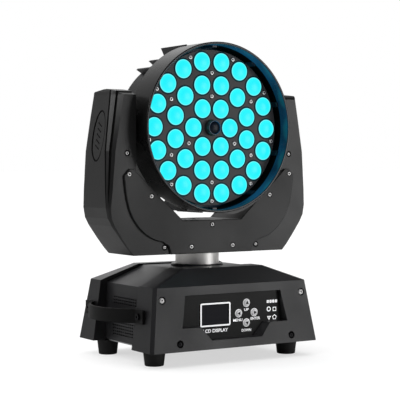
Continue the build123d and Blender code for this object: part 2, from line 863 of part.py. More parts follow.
def swing_ball(radius, half_x):
    """A ball about the head's centre, cut flat just short of the arms' inner faces."""
    rim = sqrt(radius**2 - half_x**2)
    with BuildPart() as ball:
        with BuildSketch(Plane.XY.offset(tilt_z)):
            with BuildLine():
                ThreePointArc((-half_x, rim), (0, radius), (half_x, rim))
                Polyline((half_x, rim), (half_x, 0), (-half_x, 0), (-half_x, rim))
            make_face()
        revolve(axis=Axis(tilt_centre, (1, 0, 0)))
    return ball.part


arc_cover_screws = [(128.5, 248.5), (95.3, 219.4), (33.3, 150.9), (0.0, 180.2)]
arm_screws = [(130.0, 276.0), (73.5, 151.0)]


def screw_sites(sites):
    """Both sides of each screw site, with a site on the middle line once."""
    return sorted({(side * x, z) for x, z in sites for side in (-1, 1)})


def yoke_side_cover():
    """The right shell of the yoke: arm side, front and rear walls, top and half the belly."""
    with BuildPart() as cover:
        add(yoke_form(0.0))
        add(head_room(0.0), mode=Mode.SUBTRACT)
        add(yoke_form(wall), mode=Mode.SUBTRACT)
        with BuildSketch(Plane.XY.offset(yoke_bottom_z - 1.0)):
            Circle(pan_shaft_radius + 1.0)
        extrude(amount=5.0, mode=Mode.SUBTRACT)
        with BuildSketch(front_view(-60.0)):
            with Locations(*screw_sites(arc_cover_screws + arm_screws)):
                Circle(1.8)
        extrude(amount=-120.0, mode=Mode.SUBTRACT)
        for y in (-yoke_half_depth, yoke_half_depth):
            with BuildSketch(front_view(y)):
                with Locations(*screw_sites(arm_screws)):
                    Circle(4.2)
            extrude(amount=1.2, both=True, mode=Mode.SUBTRACT)
        with BuildSketch(Plane.XY.offset(yoke_bottom_z - 1.0)):
            Rectangle(0.2, 100.0)
        extrude(amount=60.0, mode=Mode.SUBTRACT)
    return cover.part


def inner_cover():
    """The right half of the trough that closes the yoke against the head."""
    with BuildPart() as cover:
        add(yoke_form(wall + gap))
        add(head_room(wall), mode=Mode.INTERSECT)
        add(head_room(0.0), mode=Mode.SUBTRACT)
        with BuildSketch(side_plane(arm_inner_x)):
            Circle(tilt_shaft_radius + 1.5)
        extrude(amount=10.0, both=True, mode=Mode.SUBTRACT)
        with BuildSketch(Plane.XY.offset(yoke_bottom_z - 1.0)):
            Rectangle(0.2, 100.0)
        extrude(amount=60.0, mode=Mode.SUBTRACT)
    return cover.part


def keep_pair(shape, name, side_names):
    """Write a right-hand piece, and the same moulding turned half round on the left."""
    for side_name in side_names:
        piece = BuildPart()
        with piece:
            if side_name == "left":
                add(shape, rotation=(0, 0, 180))
            else:
                add(shape)
        keep(piece, name.format(side_name))


keep_pair(yoke_side_cover(), "yoke_{}_cover", ("left", "right"))
keep_pair(inner_cover(), "inner_cover_{}", ("left", "right"))


def arc_cover(side):
    """The notched cover screwed on the front (side -1) or rear (side 1) of the yoke."""
    inner_y = side * (yoke_half_depth + 0.1)
    with BuildPart() as cover:
        with BuildSketch(front_view(inner_y)):
            for half in (-1, 1):
                with BuildLine():
                    Polyline(
                        (0.0, notch_z),
                        (half * notch_half_x, notch_z),
                        (half * 121.6, notch_z + notch_slope * (121.6 - notch_half_x)),
                        (half * 127.5, notch_z + notch_slope * (121.6 - notch_half_x)),
                        (half * 136.0, 246.5),
                    )
                    Spline(
                        (half * 136.0, 246.5),
                        (half * 133.2, 223.0),
                        (half * 124.0, 193.0),
                        (half * 106.0, 171.0),
                        (half * 78.0, 158.5),
                    )
                    Polyline(
                        (half * 78.0, 158.5),
                        (half * 68.5, 152.5),
                        (half * 65.5, 144.5),
                        (half * 65.5, yoke_bottom_z),
                        (0.0, yoke_bottom_z),
                        (0.0, notch_z),
                    )
                make_face()
        extrude(amount=-side * (arc_cover_face_y - yoke_half_depth - 0.1))
        outer = cover.faces().sort_by(Axis.Y)[0 if side < 0 else -1]
        chamfer(outer.outer_wire().edges(), length=0.8)
        with BuildSketch(front_view(-60.0)):
            with Locations(*screw_sites(arc_cover_screws)):
                Circle(1.8)
        extrude(amount=-120.0, mode=Mode.SUBTRACT)
        with BuildSketch(front_view(side * arc_cover_face_y)):
            with Locations(*screw_sites(arc_cover_screws)):
                Circle(3.8)
        extrude(amount=1.2, both=True, mode=Mode.SUBTRACT)
        add(head_room(0.0), mode=Mode.SUBTRACT)
    return cover.part


for side, cover_name in ((-1, "yoke_front_cover"), (1, "yoke_rear_cover")):
    face_cover = BuildPart()
    with face_cover:
        add(arc_cover(side))
    keep(face_cover, cover_name)


def face_screw(side, x, z, seat_y, length):
    """A hex-socket screw driven in along Y, its head standing just proud of its seat."""
    with BuildPart() as screw:
        with BuildSketch(front_view(side * seat_y)):
            with Locations((x, z)):
                Circle(3.5)
        extrude(amount=-side * 1.6)
        with BuildSketch(front_view(side * seat_y)):
            with Locations((x, z)):
                Circle(1.55)
        extrude(amount=side * length)
        with BuildSketch(front_view(side * (seat_y + 1.7))):
            with Locations((x, z)):
                RegularPolygon(1.5, 6)
        extrude(amount=side * 1.2, mode=Mode.SUBTRACT)
    return screw.part


with BuildPart() as yoke_screws:
    for side in (-1, 1):
        for x, z in screw_sites(arc_cover_screws):
            add(face_screw(side, x, z, arc_cover_face_y - 1.1, 7.0))
        for x, z in screw_sites(arm_screws):
            add(face_screw(side, x, z, yoke_half_depth - 1.1, 5.0))
keep(yoke_screws, "yoke_screws")

# The folded steel frame inside the yoke: a floor, two slanted corners and two upright cheeks.
frame_half_depth = 28.0
frame_thickness = 3.0
cheek_x = 129.5
frame_floor_z = 147.2
bearing_radius = 19.0
frame_outer = mirrored([
    (112.5, frame_floor_z),
    (cheek_x + frame_thickness, 167.2),
    (cheek_x + frame_thickness, 345.0),
])
frame_inner = mirrored([
    (111.3, frame_floor_z + frame_thickness),
    (cheek_x, 168.4),
    (cheek_x, 346.0),
])
with BuildPart() as yoke_frame:
    with BuildSketch(front_view(-frame_half_depth)):
        Polygon(*frame_outer, align=None)
        Polygon(*frame_inner, align=None, mode=Mode.SUBTRACT)
    extrude(amount=-2 * frame_half_depth)
    with BuildSketch(side_plane(0)):
        Circle(bearing_radius + 0.05)
    extrude(amount=160.0, both=True, mode=Mode.SUBTRACT)
    with BuildSketch(side_plane(-cheek_x - 2 * frame_thickness)):
        with Locations((0, tilt_motor_z - tilt_z)):
            Circle(11.3)
    extrude(amount=4 * frame_thickness, mode=Mode.SUBTRACT)
    with BuildSketch(Plane.XY.offset(frame_floor_z - 1.0)):
        Circle(22.0)
    extrude(amount=6.0, mode=Mode.SUBTRACT)
keep(yoke_frame, "yoke_frame")

# The hollow pan shaft, with its flange under the frame's floor, and the pulley on its lower end.
pan_shaft_bottom_z = 80.0
with BuildPart() as pan_shaft:
    with BuildSketch(Plane.XY.offset(pan_shaft_bottom_z)):
        Circle(pan_shaft_radius)
        Circle(22.0, mode=Mode.SUBTRACT)
    extrude(amount=frame_floor_z - pan_shaft_bottom_z)
    with BuildSketch(Plane.XY.offset(frame_floor_z - 2.8)):
        Circle(45.0)
        Rectangle(100.0, 64.0, mode=Mode.INTERSECT)
        Circle(25.0, mode=Mode.SUBTRACT)
    extrude(amount=2.8)
keep(pan_shaft, "pan_shaft")

with BuildPart() as pan_pulley:
    with BuildSketch(Plane.XY.offset(pulley_z)):
        toothed_wheel(pan_pulley_radius, pan_shaft_radius + 0.05, 100)
        with PolarLocations(40.0, 6):
            Circle(6.0, mode=Mode.SUBTRACT)
    extrude(amount=pulley_height)
keep(pan_pulley, "pan_pulley")

# Flanged bearings in both cheeks.
with BuildPart() as tilt_bearings:
    for side in (-1, 1):
        with BuildSketch(side_plane(side * cheek_x)):
            Circle(bearing_radius)
            Circle(tilt_shaft_radius + running_clearance, mode=Mode.SUBTRACT)
        extrude(amount=side * 9.5)
        with BuildSketch(side_plane(side * (cheek_x + frame_thickness + 0.1))):
            Circle(23.0)
            Circle(bearing_radius - 1.0, mode=Mode.SUBTRACT)
        extrude(amount=side * 2.4)
        with BuildSketch(side_plane(side * (cheek_x + 8.0))):
            Circle(17.2)
            Circle(14.4, mode=Mode.SUBTRACT)
        extrude(amount=side * 2.0, mode=Mode.SUBTRACT)
keep(tilt_bearings, "tilt_bearings")

# Tilt motor, its toothed pinion and the belt up to the head's pulley, all in the left arm.
belt_plane_x = 119.8
belt_width = 6.0
with BuildPart() as tilt_motor:
    with BuildSketch(side_plane(-cheek_x - frame_thickness - 0.1)):
        with Locations((0, tilt_motor_z - tilt_z)):
            Rectangle(motor_size, motor_size)
            chamfer(vertices(), length=3.5)
    extrude(amount=-20.0)
    with BuildSketch(side_plane(-cheek_x - frame_thickness - 0.1)):
        with Locations((0, tilt_motor_z - tilt_z)):
            Circle(11.0)
    extrude(amount=2.2)
keep(tilt_motor, "tilt_motor")

with BuildPart() as tilt_motor_pulley:
    with BuildSketch(Plane.YZ):
        toothed_wheel(tilt_pinion_radius, 0.0, 16)
    extrude(amount=7.2)
    with BuildSketch(Plane.YZ):
        Circle(2.5)
    extrude(amount=-2.0)
pinion_place = Location((-belt_plane_x - 7.3, 0, tilt_motor_z))
tilt_motor_pulley.part = tilt_motor_pulley.part.moved(pinion_place)
keep(tilt_motor_pulley, "tilt_motor_pulley")

with BuildPart() as tilt_belt:
    with BuildSketch(side_plane(-belt_plane_x - 0.7)):
        belt_loop((0, 0), tilt_pulley_radius, (0, tilt_motor_z - tilt_z), tilt_pinion_radius)
    extrude(amount=-belt_width)
keep(tilt_belt, "tilt_belt")

# =============================================================================================
# Head
# =============================================================================================

ring_flange_radius = 97.0
clip_count = 10
clip_front_y = -45.0
with BuildPart() as head_ring:
    with BuildSketch(head_plane(ring_front_y)):
        Circle(ring_radius)
        Circle(ring_radius - ring_wall, mode=Mode.SUBTRACT)
    extrude(amount=-(ring_rear_y - ring_front_y))
    chamfer(head_ring.edges().group_by(Axis.Y)[0], length=0.7)
    with BuildSketch(head_plane(ring_rear_y - 2.5)):
        Circle(ring_radius - 1.0)
        Circle(ring_flange_radius, mode=Mode.SUBTRACT)
    extrude(amount=-2.5)
    for number in range(clip_count):
        turn = 360.0 / clip_count * (number + 0.5)
        with BuildSketch(head_plane(clip_front_y)):
            with Locations(Rotation(0, 0, turn)):
                with Locations((ring_radius - ring_wall - 1.3, 0)):
                    Rectangle(3.4, 7.0)
        extrude(amount=-(ring_rear_y - 2.4 - clip_front_y))
keep(head_ring, "head_ring")

# Rear housing: a drum with radial fins and a grille over the fan.
drum_radius = 98.0
drum_wall = 2.5
drum_rear_y = 47.0
fin_count = 28
fin_thickness = 2.8
fin_rear_y = 52.0
short_fin_radius = 105.0
long_fin_radius = 116.0
grille_radius = 44.0
flange_radius = 20.0
with BuildPart() as rear_housing:
    with BuildSketch(head_plane(ring_rear_y + 0.1)):
        Circle(drum_radius)
        Circle(drum_radius - drum_wall, mode=Mode.SUBTRACT)
    extrude(amount=-(drum_rear_y - ring_rear_y - 0.1))
    with BuildSketch(head_plane(drum_rear_y)):
        Circle(drum_radius)
        Circle(grille_radius, mode=Mode.SUBTRACT)
    extrude(amount=3.0)
    with BuildSketch(head_plane(drum_rear_y - 0.5)):
        for radius in (10.0, 19.0, 28.0, 37.0):
            Circle(radius + 1.1)
            Circle(radius - 1.1, mode=Mode.SUBTRACT)
        with PolarLocations(0, 4, start_angle=45.0):
            Rectangle(2.6, 2 * grille_radius + 2.0)
        Circle(10.0)
    extrude(amount=2.0)
    for number in range(fin_count):
        turn = 360.0 / fin_count * number
        upright = abs((turn + 90.0) % 180.0 - 90.0)
        if upright > 45.0:
            continue
        tip = long_fin_radius if upright < 15.0 else short_fin_radius
        blade = Plane(
            origin=tilt_centre,
            x_dir=(sin(radians(turn)), 0, cos(radians(turn))),
            z_dir=(cos(radians(turn)), 0, -sin(radians(turn))),
        )
        with BuildSketch(blade):
            with BuildLine():
                Polyline(
                    (drum_radius - 1.0, -ring_rear_y - 0.3),
                    (tip, -ring_rear_y - 0.3),
                    (tip, -fin_rear_y),
                    (drum_radius - 1.0, 8.0 - fin_rear_y),
                    close=True,
                )
            make_face()
        extrude(amount=fin_thickness / 2, both=True)
    for side in (-1, 1):
        with BuildSketch(side_plane(side * (drum_radius - 8.0))):
            Circle(flange_radius + 0.6)
        extrude(amount=side * 20.0, mode=Mode.SUBTRACT)
keep(rear_housing, "rear_housing")

# Heat sink: a round base plate with upright plates behind it and a cheek for each tilt shaft.
sink_radius = 88.0
sink_front_y = -6.0
sink_base = 5.0
sink_fin_rear_y = 22.0
cheek_half_height = 23.0
sink_cheek_x = 85.0
sink_cheek_thickness = 3.0
zoom_circle = 42.5
zoom_shaft_radius = 2.0
zoom_turns = [radians(turn) for turn in (0, 120, 240)]
zoom_sites = [(zoom_circle * sin(turn), zoom_circle * cos(turn)) for turn in zoom_turns]
with BuildPart() as heat_sink:
    with BuildSketch(head_plane(sink_front_y)):
        Circle(sink_radius)
        Rectangle(2 * (sink_cheek_x + sink_cheek_thickness), 2 * cheek_half_height)
    extrude(amount=-sink_base)
    with BuildSketch(head_plane(sink_front_y + sink_base)):
        with GridLocations(8.0, 1.0, 17, 1):
            Rectangle(1.8, 170.0)
        Circle(72.0, mode=Mode.INTERSECT)
    extrude(amount=-(sink_fin_rear_y - sink_front_y - sink_base))
    for side in (-1, 1):
        with BuildSketch(side_plane(side * sink_cheek_x)):
            with Locations((sink_front_y + 16.0, 0)):
                Rectangle(32.0, 2 * cheek_half_height)
        extrude(amount=side * sink_cheek_thickness)
    with BuildSketch(head_plane(sink_front_y - 1.0)):
        with Locations(*zoom_sites):
            Circle(zoom_shaft_radius + 1.0)
    extrude(amount=-40.0, mode=Mode.SUBTRACT)
keep(heat_sink, "heat_sink")

with BuildPart() as tilt_shafts:
    for side in (-1, 1):
        with BuildSketch(side_plane(side * (sink_cheek_x + sink_cheek_thickness + 0.1))):
            Circle(flange_radius)
            with Locations((20.0 + sink_front_y, 0)):
                Rectangle(40.0, 60.0, mode=Mode.INTERSECT)
        extrude(amount=side * 5.4)
        with BuildSketch(side_plane(side * (sink_cheek_x + sink_cheek_thickness + 5.5))):
            Circle(tilt_shaft_radius)
        extrude(amount=side * 48.0)
        with BuildSketch(side_plane(side * (sink_cheek_x + sink_cheek_thickness))):
            Circle(8.0)
        extrude(amount=side * 60.0, mode=Mode.SUBTRACT)
keep(tilt_shafts, "tilt_shafts")

with BuildPart() as tilt_pulley:
    with BuildSketch(Plane.YZ):
        toothed_wheel(tilt_pulley_radius, tilt_shaft_radius + 0.05, 56)
    extrude(amount=7.2)
tilt_pulley.part = tilt_pulley.part.moved(Location((-belt_plane_x - 7.3, 0, tilt_z)))
keep(tilt_pulley, "tilt_pulley")

# Light engine: board, emitters and the optics' guide post.
board_thickness = 1.6
emitter_height = 1.4
ring_radii = (0.98 * lens_pitch_radius, 1.975 * lens_pitch_radius, 3.0 * lens_pitch_radius)
ring_counts = (6, 12, 18)


def lens_sites():
    """Centres of all lenses: three rings, each turned half a pitch from the top."""
    sites = []
    for radius, count in zip(ring_radii, ring_counts):
        for number in range(count):
            turn = radians(360.0 / count * (number + 0.5))
            sites.append((radius * sin(turn), radius * cos(turn)))
    return sites


post_radius = 10.5
post_bore = 7.6
post_front = 40.0
led_board_y = sink_front_y - 0.1
with BuildPart() as led_board:
    with BuildSketch(head_plane(led_board_y)):
        Circle(drum_radius - drum_wall - 1.0)
        Circle(post_radius + 0.5, mode=Mode.SUBTRACT)
        with Locations(*zoom_sites):
            Circle(zoom_shaft_radius + 1.0, mode=Mode.SUBTRACT)
        with Locations((-100.0, 0), (100.0, 0)):
            Rectangle(24.0, 2 * tilt_shaft_radius + 1.0, mode=Mode.SUBTRACT)
    extrude(amount=board_thickness)
keep(led_board, "led_board")

with BuildPart() as leds:
    with BuildSketch(head_plane(led_board_y - board_thickness)):
        with Locations(*lens_sites()):
            Rectangle(5.0, 5.0)
    extrude(amount=emitter_height)
keep(leds, "leds")

with BuildPart() as guide_post:
    with BuildSketch(head_plane(sink_front_y - 0.05)):
        Circle(post_radius)
    extrude(amount=post_front)
    chamfer(guide_post.edges().group_by(Axis.Y)[0], length=0.8)
    with BuildSketch(head_plane(sink_front_y - 0.05 - post_front)):
        Circle(post_bore)
    extrude(amount=-5.0, mode=Mode.SUBTRACT)
keep(guide_post, "guide_post")

# Axial fan behind the heat sink.
fan_front_y = 25.0
fan_depth = 15.0
fan_size = 92.0
with BuildPart() as head_fan:
    with BuildSketch(head_plane(fan_front_y + fan_depth)):
        RectangleRounded(fan_size, fan_size, 5.0)
        Circle(43.5, mode=Mode.SUBTRACT)
        with GridLocations(fan_size - 10.0, fan_size - 10.0, 2, 2):
            Circle(2.2, mode=Mode.SUBTRACT)
    extrude(amount=fan_depth)
    with BuildSketch(head_plane(fan_front_y + fan_depth)):
        Circle(18.0)
        with PolarLocations(30.0, 4, start_angle=45.0):
            Rectangle(28.0, 3.0)
    extrude(amount=2.5)
keep(head_fan, "head_fan")

blade_count = 7
with BuildPart() as fan_rotor:
    with BuildSketch(head_plane(fan_front_y + fan_depth - 3.2)):
        Circle(17.5)
    extrude(amount=10.5)
    for number in range(blade_count):
        turn = radians(360.0 / blade_count * number)
        blade = Plane(
            origin=(16.5 * sin(turn), fan_front_y + 6.2, tilt_z + 16.5 * cos(turn)),
            x_dir=(0.8 * cos(turn), 0.6, -0.8 * sin(turn)),
            z_dir=(sin(turn), 0, cos(turn)),
        )
        with BuildSketch(blade):
            Rectangle(13.0, 1.6)
        extrude(amount=25.5)
keep(fan_rotor, "fan_rotor")

# Zoom drive: three captive linear motors in the light engine push the optics forwards.
with BuildPart() as zoom_motors:
    for site in zoom_sites:
        with BuildSketch(head_plane(led_board_y - board_thickness - 0.1)):
            with Locations(site):
                Circle(5.6)
                Circle(zoom_shaft_radius + running_clearance, mode=Mode.SUBTRACT)
        extrude(amount=6.0)
keep(zoom_motors, "zoom_motors")

# =============================================================================================
# Zoom carriage
# =============================================================================================

plate_radius = 105.0
lens_plate_thickness = 3.0
lens_depth = 9.0
plate_screw_sites = [(42.5, (0, 120, 240)), (74.0, (0, 60, 120, 180, 240, 300))]
rim_screw_turns = (20, 60, 100, 140, 180, 220, 260, 300, 340)
plate_screw_sites.append((99.5, rim_screw_turns))


def plate_screw_places():
    """Centres of the screws in the lens plate."""
    places = []
    for radius, turns in plate_screw_sites:
        for turn in turns:
            places.append((radius * sin(radians(turn)), radius * cos(radians(turn))))
    return places


with BuildPart() as lens_plate:
    with BuildSketch(head_plane(lens_plate_y)):
        Circle(plate_radius)
        with Locations(*lens_sites()):
            Circle(lens_radius + 0.2, mode=Mode.SUBTRACT)
        with Locations(*plate_screw_places()):
            Circle(1.6, mode=Mode.SUBTRACT)
        Circle(post_radius + 0.5, mode=Mode.SUBTRACT)
    extrude(amount=-lens_plate_thickness)
keep(lens_plate, "lens_plate")

dome_height = 2.5
dome_radius = (lens_radius**2 + dome_height**2) / (2 * dome_height)


def dome_y(radius):
    """Depth of a lens's front surface at a distance from its own centre."""
    return lens_plate_y - sqrt(dome_radius**2 - radius**2) + dome_radius - dome_height


with BuildPart() as single_lens:
    with BuildSketch(Plane.XY):
        with BuildLine():
            Polyline(
                (0, dome_y(0)),
                (0, lens_plate_y + lens_depth),
                (7.0, lens_plate_y + lens_depth),
                (lens_radius, lens_plate_y),
            )
            ThreePointArc(
                (lens_radius, dome_y(lens_radius)),
                (lens_radius / 2, dome_y(lens_radius / 2)),
                (0, dome_y(0)),
            )
        make_face()
    revolve(axis=Axis.Y)

with BuildPart() as lenses:
    for x, z in lens_sites():
        with Locations((x, 0, tilt_z + z)):
            add(single_lens.part)
keep(lenses, "lenses")

# Three shafts fixed behind the lens plate slide in the zoom motors.
with BuildPart() as zoom_shafts:
    for site in zoom_sites:
        with BuildSketch(head_plane(lens_plate_y + lens_plate_thickness + 0.05)):
            with Locations(site):
                Circle(3.4)
        extrude(amount=-3.0)
        with BuildSketch(head_plane(lens_plate_y + lens_plate_thickness + 0.05)):
            with Locations(site):
                Circle(zoom_shaft_radius)
        extrude(amount=-(26.0 + zoom_travel))
keep(zoom_shafts, "zoom_shafts")

with BuildPart() as plate_screws:
    with BuildSketch(head_plane(lens_plate_y - 0.05)):
        with Locations(*plate_screw_places()):
            Circle(2.9)
    extrude(amount=1.5)
    chamfer(plate_screws.edges().group_by(Axis.Y)[0], length=0.5)
    with BuildSketch(head_plane(lens_plate_y - 1.6)):
        with Locations(*plate_screw_places()):
            RegularPolygon(1.25, 6)
    extrude(amount=-1.2, mode=Mode.SUBTRACT)
    with BuildSketch(head_plane(lens_plate_y - 0.05)):
        with Locations(*plate_screw_places()):
            Circle(1.45)
    extrude(amount=-3.0)
keep(plate_screws, "plate_screws")
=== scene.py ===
import json
import math

import bmesh
import bpy
from mathutils import Matrix, Vector


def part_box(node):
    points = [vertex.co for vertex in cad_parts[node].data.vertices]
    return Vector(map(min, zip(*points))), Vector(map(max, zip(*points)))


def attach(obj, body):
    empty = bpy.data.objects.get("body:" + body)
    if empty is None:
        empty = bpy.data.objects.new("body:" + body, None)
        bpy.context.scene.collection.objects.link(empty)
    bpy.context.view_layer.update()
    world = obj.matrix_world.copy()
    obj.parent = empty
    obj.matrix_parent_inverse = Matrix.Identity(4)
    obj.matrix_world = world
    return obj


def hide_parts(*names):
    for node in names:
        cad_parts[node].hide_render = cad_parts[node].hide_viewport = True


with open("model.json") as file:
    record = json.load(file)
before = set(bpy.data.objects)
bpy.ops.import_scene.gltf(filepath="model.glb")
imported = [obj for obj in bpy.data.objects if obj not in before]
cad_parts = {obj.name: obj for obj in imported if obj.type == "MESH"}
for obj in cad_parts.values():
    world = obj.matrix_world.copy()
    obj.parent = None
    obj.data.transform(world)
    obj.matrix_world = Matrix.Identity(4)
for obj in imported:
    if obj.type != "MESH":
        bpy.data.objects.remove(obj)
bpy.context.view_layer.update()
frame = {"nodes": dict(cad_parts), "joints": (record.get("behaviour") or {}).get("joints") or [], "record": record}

NODES = frame["nodes"]
TILT_Z = next(j["pos_m"][2] for j in frame["joints"] if j["name"] == "tilt")
MM = 0.001

# =============================================================================================
# Camera and light
# =============================================================================================


def place_camera():
    data = bpy.data.cameras.new("camera")
    data.lens = 114.1
    data.sensor_width = 36.0
    data.clip_start = 0.05
    camera = bpy.data.objects.new("camera", data)
    bpy.context.scene.collection.objects.link(camera)
    camera.location = (-0.9488, -1.5068, 0.2606)
    yaw, pitch = math.radians(-32.33), math.radians(88.29)
    camera.rotation_euler = (pitch, 0.0, yaw)
    bpy.context.scene.camera = camera


def area_light(name, place, target, size, power):
    data = bpy.data.lights.new(name, "AREA")
    data.shape = "RECTANGLE"
    data.size, data.size_y = size
    data.energy = power
    light = bpy.data.objects.new(name, data)
    bpy.context.scene.collection.objects.link(light)
    light.location = place
    light.rotation_euler = (Vector(target) - Vector(place)).to_track_quat("-Z", "Y").to_euler()


def place_lights():
    bpy.context.scene.view_settings.view_transform = "Standard"
    light_room()
    data = bpy.data.lights.new("overhead", "SUN")
    data.energy = 3.4
    data.angle = math.radians(110.0)
    overhead = bpy.data.objects.new("overhead", data)
    bpy.context.scene.collection.objects.link(overhead)
    overhead.rotation_euler = (math.radians(-8.0), math.radians(-6.0), 0.0)
    overhead.visible_glossy = False
    area_light("front_right", (1.5, -2.0, 0.35), (0, 0, 0.2), (0.9, 0.9), 14.0)
    area_light("upper_left", (-1.9, 0.9, 1.3), (0, 0, 0.25), (0.8, 0.8), 12.0)


def light_room():
    """A white room to the camera; to the object, a dim room with a bright wall behind it."""
    world = bpy.data.worlds.new("studio")
    bpy.context.scene.world = world
    world.use_nodes = True
    tree = world.node_tree
    facing = tree.nodes.new("ShaderNodeVectorMath")
    facing.operation = "DOT_PRODUCT"
    facing.inputs[1].default_value = (0.53, 0.84, 0.12)
    tree.links.new(tree.nodes.new("ShaderNodeTexCoord").outputs["Generated"], facing.inputs[0])
    wall = ramp(tree, facing.outputs["Value"], [
        (0.10, (0.03, 0.03, 0.035)),
        (0.45, (0.12, 0.12, 0.12)),
        (0.80, (0.75, 0.75, 0.75)),
        (1.00, (1.0, 1.0, 1.0)),
    ])
    room = tree.nodes["Background"]
    tree.links.new(wall, room.inputs["Color"])
    backdrop = tree.nodes.new("ShaderNodeBackground")
    backdrop.inputs["Color"].default_value = (1.0, 1.0, 1.0, 1.0)
    path = tree.nodes.new("ShaderNodeLightPath")
    mix = tree.nodes.new("ShaderNodeMixShader")
    tree.links.new(path.outputs["Is Camera Ray"], mix.inputs["Fac"])
    tree.links.new(room.outputs["Background"], mix.inputs[1])
    tree.links.new(backdrop.outputs["Background"], mix.inputs[2])
    tree.links.new(mix.outputs["Shader"], tree.nodes["World Output"].inputs["Surface"])


def place_floor():
    """A pale floor that glows to the camera only, so that it meets the white background."""
    mesh = bpy.data.meshes.new("floor")
    half = 40.0
    corners = [(-half, -half, 0), (half, -half, 0), (half, half, 0), (-half, half, 0)]
    mesh.from_pydata(corners, [], [(0, 1, 2, 3)])
    floor = bpy.data.objects.new("floor", mesh)
    bpy.context.scene.collection.objects.link(floor)
    material, shader, tree = principled("floor_paint")
    shader.inputs["Base Color"].default_value = (0.38, 0.38, 0.38, 1.0)
    shader.inputs["Roughness"].default_value = 0.9
    shader.inputs["Specular IOR Level"].default_value = 0.0
    shader.inputs["Emission Color"].default_value = (1.0, 1.0, 1.0, 1.0)
    path = tree.nodes.new("ShaderNodeLightPath")
    lift = tree.nodes.new("ShaderNodeMath")
    lift.operation = "MULTIPLY"
    lift.inputs[1].default_value = 0.62
    tree.links.new(path.outputs["Is Camera Ray"], lift.inputs[0])
    tree.links.new(lift.outputs["Value"], shader.inputs["Emission Strength"])
    mesh.materials.append(material)


# =============================================================================================
# Materials
# =============================================================================================


def principled(name):
    material = bpy.data.materials.new(name)
    material.use_nodes = True
    tree = material.node_tree
    return material, tree.nodes["Principled BSDF"], tree


def place_coordinates(tree, stretch=(1.0, 1.0, 1.0)):
    """Object coordinates in metres, stretched along the axes."""
    source = tree.nodes.new("ShaderNodeTexCoord")
    mapping = tree.nodes.new("ShaderNodeMapping")
    mapping.inputs["Scale"].default_value = stretch
    tree.links.new(source.outputs["Object"], mapping.inputs["Vector"])
    return mapping.outputs["Vector"]


def noise(tree, vector, scale, detail=3.0):
    node = tree.nodes.new("ShaderNodeTexNoise")
    node.inputs["Scale"].default_value = scale
    node.inputs["Detail"].default_value = detail
    node.inputs["Roughness"].default_value = 0.55
    tree.links.new(vector, node.inputs["Vector"])
    return node.outputs["Fac"]


def ramp(tree, value, stops):
    """A colour ramp through (position, colour) stops."""
    node = tree.nodes.new("ShaderNodeValToRGB")
    elements = node.color_ramp.elements
    while len(elements) < len(stops):
        elements.new(0.5)
    for element, (position, colour) in zip(elements, stops):
        element.position = position
        element.color = colour if len(colour) == 4 else (*colour, 1.0)
    tree.links.new(value, node.inputs["Fac"])
    return node.outputs["Color"]


def spread(tree, value, low, high):
    """Maps the middle of a noise to a range."""
    node = tree.nodes.new("ShaderNodeMapRange")
    node.inputs["From Min"].default_value = 0.3
    node.inputs["From Max"].default_value = 0.7
    node.inputs["To Min"].default_value = low
    node.inputs["To Max"].default_value = high
    tree.links.new(value, node.inputs["Value"])
    return node.outputs["Result"]


def bump(tree, shader, height, strength, distance):
    node = tree.nodes.new("ShaderNodeBump")
    node.inputs["Strength"].default_value = strength
    node.inputs["Distance"].default_value = distance
    tree.links.new(height, node.inputs["Height"])
    tree.links.new(node.outputs["Normal"], shader.inputs["Normal"])


def wear(tree, colour, worn):
    """Mixes a rubbed tone into a colour along the sharpest edges."""
    geometry = tree.nodes.new("ShaderNodeNewGeometry")
    edge = tree.nodes.new("ShaderNodeMapRange")
    edge.inputs["From Min"].default_value = 0.53
    edge.inputs["From Max"].default_value = 0.62
    edge.inputs["To Max"].default_value = 0.5
    tree.links.new(geometry.outputs["Pointiness"], edge.inputs["Value"])
    mix = tree.nodes.new("ShaderNodeMix")
    mix.data_type = "RGBA"
    tree.links.new(edge.outputs["Result"], mix.inputs["Factor"])
    tree.links.new(colour, mix.inputs["A"])
    mix.inputs["B"].default_value = (*worn, 1.0)
    return mix.outputs["Result"]


def moulded_plastic(name, tone, rough, grain=0.12, grain_scale=2600.0, gloss=0.36, glow=0.0):
    """Moulded plastic or paint: a fine grain, faint mottling and rubbed edges. A glow above zero adds emission in
    the tone, which is painted light.
    """
    material, shader, tree = principled(name)
    vector = place_coordinates(tree)
    dark = tuple(0.88 * channel for channel in tone)
    light = tuple(1.12 * channel for channel in tone)
    mottle = ramp(tree, noise(tree, vector, 22.0, 5.0), [(0.3, dark), (0.7, light)])
    worn_tone = tuple(1.8 * channel for channel in tone)
    tree.links.new(wear(tree, mottle, worn_tone), shader.inputs["Base Color"])
    smudge = spread(tree, noise(tree, vector, 9.0, 4.0), rough - 0.05, rough + 0.06)
    tree.links.new(smudge, shader.inputs["Roughness"])
    shader.inputs["Specular IOR Level"].default_value = gloss
    shader.inputs["Emission Color"].default_value = (*tone, 1.0)
    shader.inputs["Emission Strength"].default_value = glow
    bump(tree, shader, noise(tree, vector, grain_scale, 2.0), grain, 0.0004)
    return material


def turned_metal(name, tone, rough, stretch=(2.0, 2.0, 900.0), metallic=1.0):
    """Metal with fine lines left by turning or brushing."""
    material, shader, tree = principled(name)
    vector = place_coordinates(tree, stretch)
    lines = noise(tree, vector, 4.0, 4.0)
    dark = tuple(0.86 * channel for channel in tone)
    tree.links.new(ramp(tree, lines, [(0.3, dark), (0.7, tone)]), shader.inputs["Base Color"])
    tree.links.new(spread(tree, lines, rough - 0.06, rough + 0.08), shader.inputs["Roughness"])
    shader.inputs["Metallic"].default_value = metallic
    bump(tree, shader, lines, 0.06, 0.0002)
    return material


